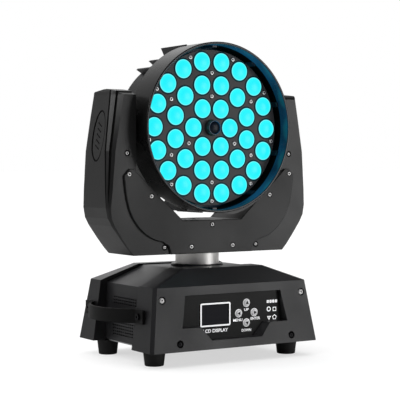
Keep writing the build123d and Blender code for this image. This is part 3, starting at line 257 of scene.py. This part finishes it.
def plated_metal(name, tone, rough, metallic=1.0):
    """Plated metal, or pale lacquer where metallic is low: smooth, with faint clouding and specks."""
    material, shader, tree = principled(name)
    vector = place_coordinates(tree)
    dark = tuple(0.8 * channel for channel in tone)
    clouds = noise(tree, vector, 160.0, 4.0)
    tree.links.new(ramp(tree, clouds, [(0.3, dark), (0.65, tone)]), shader.inputs["Base Color"])
    tree.links.new(spread(tree, clouds, rough + 0.08, rough), shader.inputs["Roughness"])
    shader.inputs["Metallic"].default_value = metallic
    bump(tree, shader, noise(tree, vector, 1400.0), 0.04, 0.0002)
    return material


def rubber(name, tone, rough=0.62, gloss=0.4):
    """Dull rubber, mottled and slightly rough."""
    material, shader, tree = principled(name)
    vector = place_coordinates(tree)
    dark = tuple(0.8 * channel for channel in tone)
    light = tuple(1.25 * channel for channel in tone)
    mottle = ramp(tree, noise(tree, vector, 60.0, 5.0), [(0.3, dark), (0.7, light)])
    tree.links.new(mottle, shader.inputs["Base Color"])
    dull = spread(tree, noise(tree, vector, 30.0), rough - 0.06, rough + 0.08)
    tree.links.new(dull, shader.inputs["Roughness"])
    shader.inputs["Specular IOR Level"].default_value = gloss
    bump(tree, shader, noise(tree, vector, 900.0, 4.0), 0.16, 0.0003)
    return material


# Lens emission by reach from the centre: the LED glow, a painted bright rim highlight near 0.88, and a painted
# dark shade edge from 0.925 out.
LENS_GLOW_PAINTED_RIM_AND_EDGE = [
    (0.00, (0.012, 0.860, 0.960)),
    (0.55, (0.016, 0.900, 0.980)),
    (0.84, (0.035, 0.960, 1.000)),
    (0.88, (0.260, 1.000, 1.000)),
    (0.91, (0.180, 0.950, 1.000)),
    (0.925, (0.000, 0.040, 0.070)),
    (1.00, (0.000, 0.006, 0.010)),
]


def glowing_lens(name):
    """Clear moulded optic lit from behind, with a painted highlight on its rim and a painted dark shade at the
    edge where it meets the plate.
    """
    material, shader, tree = principled(name)
    reach = tree.nodes.new("ShaderNodeAttribute")
    reach.attribute_name = "reach"
    glow = ramp(tree, reach.outputs["Fac"], LENS_GLOW_PAINTED_RIM_AND_EDGE)
    facets = spread(tree, noise(tree, place_coordinates(tree), 900.0, 2.0), 0.94, 1.04)
    tint = tree.nodes.new("ShaderNodeMix")
    tint.data_type = "RGBA"
    tint.blend_type = "MULTIPLY"
    tint.inputs["Factor"].default_value = 1.0
    tree.links.new(glow, tint.inputs["A"])
    tree.links.new(facets, tint.inputs["B"])
    tree.links.new(tint.outputs["Result"], shader.inputs["Emission Color"])
    shader.inputs["Base Color"].default_value = (0.0, 0.04, 0.05, 1.0)
    shader.inputs["Emission Strength"].default_value = 1.0
    shader.inputs["Roughness"].default_value = 0.3
    shader.inputs["Specular IOR Level"].default_value = 0.25
    return material


def lit_wall(name, tone, spill):
    """Glossy black plastic with uneven blue patches of glow, standing for light caught from the lenses."""
    material, shader, tree = principled(name)
    vector = place_coordinates(tree)
    patches = noise(tree, vector, 14.0, 2.0)
    dark = tuple(0.25 * channel for channel in spill)
    tree.links.new(ramp(tree, patches, [(0.35, dark), (0.65, spill)]), shader.inputs["Emission Color"])
    shader.inputs["Emission Strength"].default_value = 1.0
    light = tuple(1.6 * channel for channel in tone)
    tree.links.new(ramp(tree, patches, [(0.3, tone), (0.7, light)]), shader.inputs["Base Color"])
    tree.links.new(spread(tree, patches, 0.22, 0.34), shader.inputs["Roughness"])
    shader.inputs["Specular IOR Level"].default_value = 0.3
    bump(tree, shader, noise(tree, vector, 1400.0), 0.03, 0.0003)
    return material


def circuit_board(name):
    """A green board with lighter tracks."""
    material, shader, tree = principled(name)
    vector = place_coordinates(tree)
    tracks = noise(tree, vector, 400.0, 1.0)
    green = ramp(tree, tracks, [(0.48, (0.004, 0.07, 0.03)), (0.52, (0.01, 0.14, 0.06))])
    tree.links.new(green, shader.inputs["Base Color"])
    shader.inputs["Roughness"].default_value = 0.3
    bump(tree, shader, tracks, 0.1, 0.0002)
    return material


def make_materials():
    return {
        "shell": moulded_plastic("shell_plastic", (0.013, 0.013, 0.014), 0.38),
        "yoke": moulded_plastic("yoke_plastic", (0.011, 0.011, 0.011), 0.36),
        "cover_plate": moulded_plastic("cover_plate_plastic", (0.012, 0.012, 0.012), 0.42, 0.08),
        "ring": moulded_plastic("ring_plastic", (0.003, 0.003, 0.003), 0.25, 0.03, 1400.0),
        "fin": moulded_plastic("fin_plastic", (0.012, 0.012, 0.013), 0.45),
        "lens_plate": moulded_plastic("lens_plate_paint", (0.056, 0.057, 0.060), 0.5, 0.08),
        "panel": moulded_plastic("panel_plastic", (0.004, 0.004, 0.004), 0.4, 0.04, gloss=0.2),
        "collar": moulded_plastic("collar_plastic", (0.02, 0.02, 0.021), 0.35),
        "strap": rubber("strap_rubber", (0.003, 0.003, 0.003), 0.55, 0.2),
        "foot": rubber("foot_rubber", (0.012, 0.012, 0.012)),
        "belt": rubber("belt_rubber", (0.012, 0.012, 0.012), 0.7),
        "shaft": turned_metal("shaft_steel", (0.97, 0.955, 0.93), 0.46, metallic=0.9),
        "sheet": turned_metal("sheet_steel", (0.52, 0.53, 0.54), 0.38, (30.0, 2.0, 30.0)),
        "bearing": turned_metal("bearing_steel", (0.55, 0.56, 0.58), 0.25),
        "alloy": turned_metal("cast_aluminium", (0.60, 0.61, 0.62), 0.4, (60.0, 60.0, 60.0)),
        "screw": plated_metal("screw_steel", (0.98, 0.97, 0.96), 0.46, 0.75),
        # Near-black for painted shade in recesses, under screw heads and in grooves, and for the printed key
        # arrows.
        "recess": moulded_plastic("painted_shade_and_arrow_print", (0.004, 0.004, 0.004), 0.6, 0.02, gloss=0.1),
        "key": plated_metal("key_metal", (0.96, 0.96, 0.97), 0.40, 0.1),
        # Blue glow on the ring's lip and on the guide tube's lip: painted reflection of the lens light.
        "ring_lip": lit_wall("ring_lip_painted_reflection", (0.002, 0.006, 0.012), (0.003, 0.050, 0.110)),
        # The ring's deep well, darker than the ring: painted shade.
        "ring_well": moulded_plastic("ring_well_painted_shade", (0.0015, 0.0015, 0.002), 0.45, 0.03, gloss=0.08),
        # Faint blue glow on the clips: painted reflection.
        "ring_clip": lit_wall("ring_clip_painted_reflection", (0.002, 0.003, 0.004), (0.001, 0.006, 0.012)),
        "motor": moulded_plastic("motor_black", (0.02, 0.02, 0.02), 0.35),
        "socket": moulded_plastic("socket_black", (0.014, 0.014, 0.015), 0.3),
        "rocker": moulded_plastic("rocker_red", (0.30, 0.012, 0.012), 0.25, 0.03),
        "board": circuit_board("board_green"),
        "emitter": moulded_plastic("emitter_white", (0.75, 0.75, 0.68), 0.4, 0.02),
        "dark_glass": moulded_plastic("dark_glass", (0.006, 0.010, 0.018), 0.26, 0.0, gloss=0.1),
        # Dark teal rings around the lenses: painted shade.
        "lens_outline_painted_shade": moulded_plastic("lens_outline_painted_shade", (0.002, 0.030, 0.034), 0.5, 0.02, gloss=0.1),
        "screen": moulded_plastic("screen_glass", (0.010, 0.010, 0.013), 0.12, 0.0, gloss=0.15),
        # White print, made brighter by a glow of 0.35 that is painted light.
        "white_ink_painted_glow": moulded_plastic("white_ink_painted_glow", (0.92, 0.92, 0.93), 0.45, 0.02, glow=0.35),
        "lens": glowing_lens("lens_glow"),
        # Dark screw finish: the handle bolts, and the lower base screws, where the black is painted shade.
        "black_screw": plated_metal("black_screws_and_painted_shade", (0.03, 0.03, 0.032), 0.35),
    }


# =============================================================================================
# Mesh tools
# =============================================================================================


def new_piece(name, mesh):
    piece = bpy.data.objects.new(name, mesh)
    bpy.context.scene.collection.objects.link(piece)
    return piece


def settle(piece):
    """Applies the modifiers of a piece to its mesh."""
    bpy.context.view_layer.update()
    depsgraph = bpy.context.evaluated_depsgraph_get()
    mesh = bpy.data.meshes.new_from_object(piece.evaluated_get(depsgraph))
    piece.modifiers.clear()
    piece.data = mesh
    return piece


def smooth(mesh, degrees):
    """Smooth shading with the edges over an angle kept sharp."""
    mesh.polygons.foreach_set("use_smooth", [True] * len(mesh.polygons))
    mesh.set_sharp_from_angle(angle=math.radians(degrees))


def softened(node, material, radius):
    """A copy of a CAD node with its hard edges rounded."""
    mesh = NODES[node].data.copy()
    form = bmesh.new()
    form.from_mesh(mesh)
    bmesh.ops.remove_doubles(form, verts=form.verts, dist=1e-6)
    bmesh.ops.dissolve_limit(form, angle_limit=math.radians(0.3), verts=form.verts, edges=form.edges)
    form.to_mesh(mesh)
    form.free()
    mesh.materials.clear()
    mesh.materials.append(material)
    piece = new_piece(node + "_moulded", mesh)
    bevel = piece.modifiers.new("bevel", "BEVEL")
    bevel.width = radius
    bevel.segments = 2
    bevel.limit_method = "ANGLE"
    bevel.angle_limit = math.radians(30.0)
    bevel.miter_outer = "MITER_ARC"
    bevel.use_clamp_overlap = True
    settle(piece)
    even_shading(piece)
    return piece


def even_shading(piece, degrees=32.0):
    """Smooth shading that keeps the large faces flat."""
    smooth(piece.data, degrees)
    weighted = piece.modifiers.new("weighted", "WEIGHTED_NORMAL")
    weighted.keep_sharp = True
    weighted.weight = 60
    settle(piece)


def lathe(form, centre, axis, profile, steps=32, finish=0, hexagon=None):
    """Adds a turned surface to a bmesh. The profile lists (radius, height along the axis) from the
    outside inwards; a radius of zero ends it in a point. hexagon = n makes ring n six-sided."""
    axis = Vector(axis).normalized()
    across = axis.orthogonal().normalized()
    along = axis.cross(across)
    previous = None
    for number, (radius, height) in enumerate(profile):
        middle = Vector(centre) + axis * height
        if radius == 0.0:
            point = form.verts.new(middle)
            for start in range(steps):
                face = form.faces.new((previous[start], previous[(start + 1) % steps], point))
                face.material_index = finish
            return
        ring = []
        for step in range(steps):
            angle = 2 * math.pi * step / steps
            reach = radius
            if hexagon is not None and number >= hexagon:
                reach = radius * math.cos(math.pi / 6) / math.cos(angle % (math.pi / 3) - math.pi / 6)
            ring.append(form.verts.new(middle + (across * math.cos(angle) + along * math.sin(angle)) * reach))
        if previous:
            for start in range(steps):
                end = (start + 1) % steps
                face = form.faces.new((previous[start], previous[end], ring[end], ring[start]))
                face.material_index = finish
        previous = ring


def slab(form, outline, low_y, high_y, hole=None, finish=0):
    """Adds a flat plate in the XZ plane between two depths, with an optional hole of as many points."""
    layers = [[form.verts.new((x, y, z)) for x, z in outline] for y in (low_y, high_y)]
    count = len(outline)
    faces = []
    for start in range(count):
        end = (start + 1) % count
        faces.append((layers[0][start], layers[0][end], layers[1][end], layers[1][start]))
    if hole:
        inner = [[form.verts.new((x, y, z)) for x, z in hole] for y in (low_y, high_y)]
        for start in range(count):
            end = (start + 1) % count
            faces.append((inner[0][end], inner[0][start], inner[1][start], inner[1][end]))
            faces.append((layers[0][end], layers[0][start], inner[0][start], inner[0][end]))
            faces.append((layers[1][start], layers[1][end], inner[1][end], inner[1][start]))
    else:
        faces.append(tuple(reversed(layers[0])))
        faces.append(tuple(layers[1]))
    for corners in faces:
        form.faces.new(corners).material_index = finish


def rounded_box(centre_x, centre_z, width, height, radius):
    """The outline of a rectangle with round corners."""
    steps = 4
    points = []
    for turn, (side_x, side_z) in enumerate(((1, 1), (-1, 1), (-1, -1), (1, -1))):
        for step in range(steps + 1):
            angle = math.pi / 2 * (turn + step / steps)
            points.append((
                centre_x + side_x * (width / 2 - radius) + radius * math.cos(angle),
                centre_z + side_z * (height / 2 - radius) + radius * math.sin(angle),
            ))
    return points


def polygon(centre_x, centre_z, radius, sides, turn=0.0):
    angles = [turn + 2 * math.pi * side / sides for side in range(sides)]
    return [(centre_x + radius * math.cos(angle), centre_z + radius * math.sin(angle)) for angle in angles]


def piece_from(form, name, materials, angle=32.0):
    mesh = bpy.data.meshes.new(name)
    for material in materials:
        mesh.materials.append(material)
    bmesh.ops.recalc_face_normals(form, faces=form.faces)
    form.to_mesh(mesh)
    form.free()
    smooth(mesh, angle)
    return new_piece(name, mesh)


def loose_parts(node):
    """The (lowest, highest) corners of each separate solid in a CAD node."""
    form = bmesh.new()
    form.from_mesh(NODES[node].data)
    bmesh.ops.remove_doubles(form, verts=form.verts, dist=1e-6)
    form.verts.ensure_lookup_table()
    seen = set()
    parts = []
    for vert in form.verts:
        if vert.index in seen:
            continue
        seen.add(vert.index)
        queue = [vert]
        low, high = vert.co.copy(), vert.co.copy()
        while queue:
            here = queue.pop()
            low = Vector(map(min, low, here.co))
            high = Vector(map(max, high, here.co))
            for edge in here.link_edges:
                other = edge.other_vert(here)
                if other.index not in seen:
                    seen.add(other.index)
                    queue.append(other)
        parts.append((low, high))
    form.free()
    return parts


def cut_grooves(piece, lines, radius, shade):
    """Cuts round-bottomed grooves along lines of points (x, y, z, share of the radius) on a surface, and gives
    their walls the dark shade material as painted shade."""
    curve = bpy.data.curves.new(piece.name + "_cutter", "CURVE")
    curve.dimensions = "3D"
    curve.bevel_depth = radius
    curve.bevel_resolution = 2
    curve.use_fill_caps = True
    for line, closed in lines:
        spline = curve.splines.new("POLY")
        spline.points.add(len(line) - 1)
        for point, spot in zip(spline.points, line):
            point.co = (*spot[:3], 1.0)
            point.radius = spot[3]
        spline.use_cyclic_u = closed
    cutter = bpy.data.objects.new(curve.name, curve)
    bpy.context.scene.collection.objects.link(cutter)
    bpy.context.view_layer.update()
    depsgraph = bpy.context.evaluated_depsgraph_get()
    solid = bpy.data.objects.new(curve.name, bpy.data.meshes.new_from_object(cutter.evaluated_get(depsgraph)))
    bpy.context.scene.collection.objects.link(solid)
    bpy.data.objects.remove(cutter)
    solid.data.materials.clear()
    solid.data.materials.append(shade)
    cut = piece.modifiers.new("groove", "BOOLEAN")
    cut.operation = "DIFFERENCE"
    cut.solver = "EXACT"
    cut.material_mode = "TRANSFER"
    cut.object = solid
    settle(piece)
    bpy.data.objects.remove(solid)
    even_shading(piece, 9.0)


def place(piece, body, slot, *nodes):
    """Puts a piece on a body and in the stead of nodes. The slot is not used."""
    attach(piece, body)
    if nodes:
        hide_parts(*nodes)


# =============================================================================================
# Pieces
# =============================================================================================


def dress_nodes(look):
    """Gives every CAD node that still shows its own material."""
    finish_of_slot = {
        "base_plastic": "shell", "yoke_plastic": "yoke", "cover_plate_plastic": "cover_plate",
        "head_plastic": "fin", "panel_plastic": "panel", "lens_plate_black": "lens_plate",
        "lens_glass": "lens", "lcd_glass": "screen", "key_metal": "key", "strap_rubber": "strap",
        "foot_rubber": "foot", "belt_rubber": "belt", "screw_steel": "screw", "shaft_steel": "shaft",
        "sheet_steel": "sheet", "bearing_steel": "bearing", "motor_black": "motor",
        "cast_aluminium": "alloy", "board_green": "board", "emitter_white": "emitter",
        "socket_black": "socket", "rocker_red": "rocker", "collar_black": "collar",
    }
    for part in frame["record"]["subparts"]:
        mesh = NODES[part["node"]].data
        mesh.materials.clear()
        finish = "black_screw" if part["node"] == "handle_bolts" else finish_of_slot[part["material_slot"]]
        mesh.materials.append(look[finish])
        smooth(mesh, 30.0)


def screw_head(form, centre, axis, radius, height, recess, shadow_ring_scale=1.2):
    """A pan head with its drive recess painted dark as shade, over a thin dark ring that is a painted shadow
    around the head.
    """
    painted_shadow_ring = [(radius * shadow_ring_scale, 0.0), (radius * shadow_ring_scale, 0.2 * MM), (radius * 0.7, 0.2 * MM)]
    lathe(form, centre, axis, painted_shadow_ring, 32, 1)
    head = [
        (radius, 0.15 * MM), (radius, 0.5 * height), (0.9 * radius, 0.86 * height),
        (0.74 * radius, height), (recess, height),
    ]
    lathe(form, centre, axis, head, 36)
    drive = [(recess, height), (recess, height - 0.25 * MM), (0.0, height - 0.3 * MM)]
    lathe(form, centre, axis, drive, 36, 1, 0)


def plate_screws(look):
    """The bright screws between the lenses."""
    form = bmesh.new()
    plate_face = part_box("lens_plate")[0][1]
    for low, high in loose_parts("plate_screws"):
        middle = (low + high) / 2
        screw_head(form, (middle.x, plate_face, middle.z), (0, -1, 0), 2.8 * MM, 1.5 * MM, 1.25 * MM)
    piece = piece_from(form, "plate_screw_heads", [look["screw"], look["recess"]])
    place(piece, "optics", "screw_steel", "plate_screws")


def yoke_screw_heads(look):
    """Bright screws on the face covers, and smaller ones sunk in the arms."""
    form = bmesh.new()
    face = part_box("yoke_front_cover")[0][1]
    height = 1.55 * MM
    for low, high in loose_parts("yoke_screws"):
        middle = (low + high) / 2
        side = -1 if middle.y < 0 else 1
        outer = low.y if side < 0 else high.y
        seat = (middle.x, outer - side * height, middle.z)
        if abs(outer) > abs(face):
            screw_head(form, seat, (0, side, 0), 2.9 * MM, height, 1.35 * MM)
        else:
            # The sunk screws sit on a wider dark ring, painted shade of their recess.
            screw_head(form, seat, (0, side, 0), 2.3 * MM, height, 1.0 * MM, 1.75)
    piece = piece_from(form, "yoke_screw_heads", [look["screw"], look["recess"]])
    place(piece, "yoke", "screw_steel", "yoke_screws")


def base_screw_heads(look):
    """Button heads sunk in the leaning faces, each over a dark disc painted as the shade of its recess: bright at
    the top of the covers, black at the bottom as painted shade.
    """
    form = bmesh.new()
    lean = math.atan(12.0 / 82.5)
    foot_y, foot_z = 101.7 * MM, 20.5 * MM
    upper_z, lower_z = 87.2 * MM, 30.5 * MM
    sunk = 1.85
    for low, high in loose_parts("base_cover_screws"):
        middle = (low + high) / 2
        upper = middle.z > 60 * MM
        side = -1 if middle.y < 0 else 1
        axis = Vector((0.0, side * math.cos(lean), math.sin(lean)))
        height = upper_z if upper else lower_z
        face = side * (foot_y - (height - foot_z) * math.tan(lean))
        seat = Vector((middle.x, face, height)) - axis * sunk * MM
        # A dark disc at the bottom of each recess: painted shade.
        lathe(form, seat, axis, [(4.9 * MM, 0.0), (0.0, 0.02 * MM)], 32, 1)
        # The lower heads take the black material as painted shade.
        finish = 0 if upper else 2
        dome = [(3.8, 0.1), (3.75, 0.8), (3.2, 1.5), (2.2, 1.9), (1.2, 2.0)]
        lathe(form, seat, axis, [(radius * MM, lift * MM) for radius, lift in dome], 32, finish)
        socket = [(1.2, 2.0), (1.1, 1.3), (0.0, 1.25)]
        lathe(form, seat, axis, [(radius * MM, lift * MM) for radius, lift in socket], 32, 1, 0)
    piece = piece_from(form, "base_screw_heads", [look["screw"], look["recess"], look["black_screw"]])
    place(piece, "base", "screw_steel", "base_cover_screws")


def lens_set(look):
    """The 36 optics: shallow domes on dark seat rings that are painted shade around each lens. Each point carries
    its reach from its lens's centre.
    """
    form = bmesh.new()
    layer = form.verts.layers.float.new("reach")
    plate_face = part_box("lens_plate")[0][1]
    shares = (1.0, 0.985, 0.955, 0.93, 0.90, 0.86, 0.78, 0.66, 0.5, 0.3, 0.12, 0.0)
    for low, high in loose_parts("lenses"):
        middle = (low + high) / 2
        radius = (high.x - low.x) / 2
        dome = plate_face - low.y
        rim = 1.13 * radius
        profile = [(rim, -0.1 * MM), (rim, 0.2 * MM)]
        for share in shares:
            lift = 0.25 * MM + (dome - 0.25 * MM) * (1.0 - share**2)
            profile.append((rim * share, lift))
        centre = (middle.x, plate_face, middle.z)
        seat = [(1.075 * rim, -0.1 * MM), (1.075 * rim, 0.12 * MM), (0.98 * rim, 0.14 * MM)]
        lathe(form, centre, (0, -1, 0), seat, 40, 1)
        before = len(form.verts)
        lathe(form, centre, (0, -1, 0), profile, 40)
        form.verts.ensure_lookup_table()
        for vert in form.verts[before:]:
            offset = Vector((vert.co.x - middle.x, vert.co.z - middle.z))
            vert[layer] = min(offset.length / rim, 1.0)
    piece = piece_from(form, "lens_set", [look["lens"], look["lens_outline_painted_shade"]], 60.0)
    place(piece, "optics", "lens_glass", "lenses")


def make_guide_post(look):
    """The tube in the middle of the lenses, with a blue-lit lip and a dark glass inside."""
    low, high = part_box("guide_post")
    radius = (high.x - low.x) / 2
    centre = (0.0, low.y, TILT_Z)
    form = bmesh.new()
    edge = radius - 1.0 * MM
    wall = [(radius, low.y - high.y), (radius, -1.0 * MM), (radius - 0.3 * MM, -0.3 * MM), (edge, 0.0)]
    lathe(form, centre, (0, -1, 0), wall, 48)
    lip = [(edge, 0.0), (8.9 * MM, 0.0), (8.5 * MM, -0.5 * MM), (8.5 * MM, -3.0 * MM)]
    lathe(form, centre, (0, -1, 0), lip, 48, 2)
    glass = [(8.5, -2.2), (7.6, -1.5), (5.4, -0.9), (2.7, -0.6), (0.0, -0.5)]
    lathe(form, centre, (0, -1, 0), [(reach * MM, lift * MM) for reach, lift in glass], 48, 1)
    piece = piece_from(form, "guide_tube", [look["collar"], look["dark_glass"], look["ring_lip"]])
    place(piece, "head", "socket_black", "guide_post")


# Rows of the yoke's corner from the belly to the top: height, then the side panel's edge and the crease.
CORNER_ROWS = [
    (211.0, 158.7, 29.4, 156.5, 33.1), (227.0, 158.2, 28.0, 155.6, 32.6), (279.0, 155.1, 22.0, 151.8, 29.8),
    (324.5, 147.8, 16.5, 144.0, 26.8), (352.8, 142.8, 13.0, 139.0, 24.5), (357.5, 142.3, 12.4, 138.8, 24.2),
    (362.5, 140.4, 12.2, 137.2, 24.0),
]


def row_value(height, column):
    """A column of CORNER_ROWS at a height, between its rows."""
    for below, above in zip(CORNER_ROWS, CORNER_ROWS[1:]):
        if height <= above[0]:
            share = (height - below[0]) / (above[0] - below[0])
            return below[column] + share * (above[column] - below[column])
    return CORNER_ROWS[-1][column]


def corner_grooves(side):
    """Two grooves down the creased corner of an arm, and the oval with five plain strokes in it."""
    edge = []
    crease = []
    for number, (height, side_x, side_y, crease_x, crease_y) in enumerate(CORNER_ROWS):
        share = (0.1, 0.55)[number] if number < 2 else 1.0
        edge.append((side * side_x * MM, side * side_y * MM, height * MM, 1.15 * share))
        crease.append((side * crease_x * MM, side * crease_y * MM, height * MM, 1.6 * share))
    lines = [(edge, False), (crease, False)]
    oval = []
    oval_steps = 48
    for step in range(oval_steps):
        angle = 2 * math.pi * step / oval_steps
        height = 299.0 + 33.0 * math.sin(angle)
        depth = -side * (2.0 + 15.5 * math.cos(angle))
        share = 1.0 + 0.60 * math.cos(angle)
        oval.append((side * (row_value(height, 1) + 0.1) * MM, depth * MM, height * MM, share))
    lines.append((oval, True))
    for number in range(5):
        height = 284.0 + 7.5 * number
        ends = ((-3.5, height - 3.0), (7.5, height + 3.0))
        stroke = [(side * (row_value(z, 1) + 0.15) * MM, -side * y * MM, z * MM, 0.7) for y, z in ends]
        lines.append((stroke, False))
    return lines


def yoke_arms(look):
    """The two side covers of the yoke with softened edges and pressed grooves whose walls are painted dark as
    shade.
    """
    for side, node in ((-1, "yoke_left_cover"), (1, "yoke_right_cover")):
        piece = softened(node, look["yoke"], 0.9 * MM)
        cut_grooves(piece, corner_grooves(side), 1.35 * MM, look["recess"])
        place(piece, "yoke", "yoke_plastic", node)


def ring_finishes(look):
    """The head ring: satin outside and behind, a blue-lit lip inside whose glow is painted reflection, a well
    painted black as shade, and its clips with a faint painted blue reflection.
    """
    lip_end_y = -43.0 * MM
    outer_wall, whole_wall = 3.3 * MM, 4.2 * MM
    piece = softened("head_ring", look["ring"], 0.6 * MM)
    mesh = piece.data
    form = bmesh.new()
    form.from_mesh(mesh)
    everything = form.verts[:] + form.edges[:] + form.faces[:]
    bmesh.ops.bisect_plane(form, geom=everything, plane_co=(0.0, lip_end_y, 0.0), plane_no=(0.0, 1.0, 0.0))
    form.to_mesh(mesh)
    form.free()
    even_shading(piece)
    mesh = piece.data
    for name in ("ring_lip", "ring_well", "ring_clip"):
        mesh.materials.append(look[name])
    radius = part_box("head_ring")[1][0]
    for face in mesh.polygons:
        reach = math.hypot(face.center.x, face.center.z - TILT_Z)
        inward = face.normal.x * face.center.x + face.normal.z * (face.center.z - TILT_Z) < -0.2 * reach
        rearward = face.normal.y > 0.5
        if rearward or reach > radius - outer_wall or (not inward and reach > radius - whole_wall):
            continue
        if reach < radius - whole_wall:
            face.material_index = 3
        else:
            # The front band takes the painted blue reflection, the deep part the painted shade.
            face.material_index = 1 if face.center.y < lip_end_y else 2
    place(piece, "head", "head_plastic", "head_ring")


def write(form, words, centre, size, front_y):
    """Adds plain lettering facing the front, fitted to a width and a height."""
    curve = bpy.data.curves.new("words", "FONT")
    curve.body = words
    curve.extrude = 0.05
    curve.offset = 0.022
    text = bpy.data.objects.new("words", curve)
    bpy.context.scene.collection.objects.link(text)
    bpy.context.view_layer.update()
    mesh = bpy.data.meshes.new_from_object(text.evaluated_get(bpy.context.evaluated_depsgraph_get()))
    bpy.data.objects.remove(text)
    xs = [vert.co.x for vert in mesh.vertices]
    ys = [vert.co.y for vert in mesh.vertices]
    left, right, bottom, top = min(xs), max(xs), min(ys), max(ys)
    for vert in mesh.vertices:
        across = (vert.co.x - left) / (right - left) - 0.5
        up = (vert.co.y - bottom) / (top - bottom) - 0.5
        vert.co = (
            (centre[0] + across * size[0]) * MM, (front_y - vert.co.z) * MM, (centre[1] + up * size[1]) * MM,
        )
    form.from_mesh(mesh)


def frame_line(form, outline, inner, front_y):
    """A printed outline: a thin plate between two outlines in millimetres."""
    slab(
        form, [(x * MM, z * MM) for x, z in outline], (front_y - 0.08) * MM, (front_y + 0.02) * MM,
        hole=[(x * MM, z * MM) for x, z in inner] if inner else None,
    )


def panel_marks(look):
    """White print on the display panel: the screen's frame, rings, key names and neutral shapes."""
    face = -86.6
    rim = -87.7
    form = bmesh.new()
    screen = (-26.4, 63.9)
    frame_line(form, rounded_box(*screen, 47.0, 31.0, 2.0), rounded_box(*screen, 43.2, 27.2, 0.8), rim)
    for x, z in ((23.5, 76.4), (23.5, 50.0), (11.0, 63.2), (36.0, 63.2)):
        frame_line(form, polygon(x, z, 5.5, 32), polygon(x, z, 4.8, 32), face)
    for x, z, radius, sides, turn in (
        (60.0, 66.0, 3.4, 24, 0.0), (69.5, 65.5, 4.0, 4, math.pi / 4),
        (69.5, 54.5, 3.8, 5, math.pi / 2),
    ):
        frame_line(form, polygon(x, z, radius, sides, turn), polygon(x, z, radius - 1.3, sides, turn), face)
    triangle = (60.5, 54.5)
    point_down = -math.pi / 2
    frame_line(form, polygon(*triangle, 3.8, 3, point_down), polygon(*triangle, 1.6, 3, point_down), face)
    for number in range(4):
        frame_line(form, rounded_box(58.4 + 4.6 * number, 76.2, 3.4, 4.0, 0.8), None, face)
    piece = piece_from(form, "panel_print", [look["white_ink_painted_glow"]])
    place(piece, "base", None)
    words = bmesh.new()
    write(words, "LCD DISPLAY", (-25.5, 42.6), (38.8, 4.6), face)
    write(words, "UP", (23.5, 67.4), (7.4, 3.6), face)
    write(words, "MENU", (9.6, 54.2), (14.6, 3.6), face)
    write(words, "ENTER", (38.0, 54.9), (15.4, 3.6), face)
    write(words, "DOWN", (23.5, 40.0), (15.2, 3.6), face)
    place(piece_from(words, "key_names", [look["white_ink_painted_glow"]]), "base", None)


def key_caps(look):
    """Domed bright keys, each with a small dark arrow."""
    for way, turn in (("up", 90.0), ("down", -90.0), ("left", 180.0), ("right", 0.0)):
        node = "button_" + way
        low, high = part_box(node)
        middle = (low[0] + high[0]) / 2, (low[2] + high[2]) / 2
        form = bmesh.new()
        dome = [(4.4, -1.6), (4.4, 0.9), (4.25, 1.3), (3.9, 1.6), (3.4, 1.74), (0.0, 1.8)]
        centre = (middle[0], low[1] + 1.8 * MM, middle[1])
        lathe(form, centre, (0, -1, 0), [(radius * MM, lift * MM) for radius, lift in dome], 36)
        arrow = polygon(*middle, 2.8 * MM, 3, math.radians(turn))
        slab(form, arrow, low[1] - 0.08 * MM, low[1] + 0.6 * MM, finish=1)
        piece = piece_from(form, node + "_cap", [look["key"], look["recess"]], 40.0)
        place(piece, way + "_key", "key_metal", node)


def main():
    look = make_materials()
    place_camera()
    place_lights()
    place_floor()
    dress_nodes(look)
    for node, finish, slot, body, radius in (
        ("front_cover", "shell", "base_plastic", "base", 0.9),
        ("rear_cover", "shell", "base_plastic", "base", 0.9),
        ("middle_housing", "shell", "base_plastic", "base", 0.4),
        ("yoke_front_cover", "cover_plate", "cover_plate_plastic", "yoke", 0.5),
        ("yoke_rear_cover", "cover_plate", "cover_plate_plastic", "yoke", 0.5),
        ("inner_cover_left", "yoke", "yoke_plastic", "yoke", 0.6),
        ("inner_cover_right", "yoke", "yoke_plastic", "yoke", 0.6),
        ("rear_housing", "fin", "head_plastic", "head", 0.4),
        ("handle_left", "strap", "strap_rubber", "base", 1.0),
        ("handle_right", "strap", "strap_rubber", "base", 1.0),
        ("rubber_feet", "foot", "foot_rubber", "base", 1.0),
        ("lens_plate", "lens_plate", "lens_plate_black", "optics", 0.3),
    ):
        place(softened(node, look[finish], radius * MM), body, slot, node)
    yoke_arms(look)
    ring_finishes(look)
    plate_screws(look)
    yoke_screw_heads(look)
    base_screw_heads(look)
    panel_marks(look)
    key_caps(look)
    lens_set(look)
    make_guide_post(look)


main()
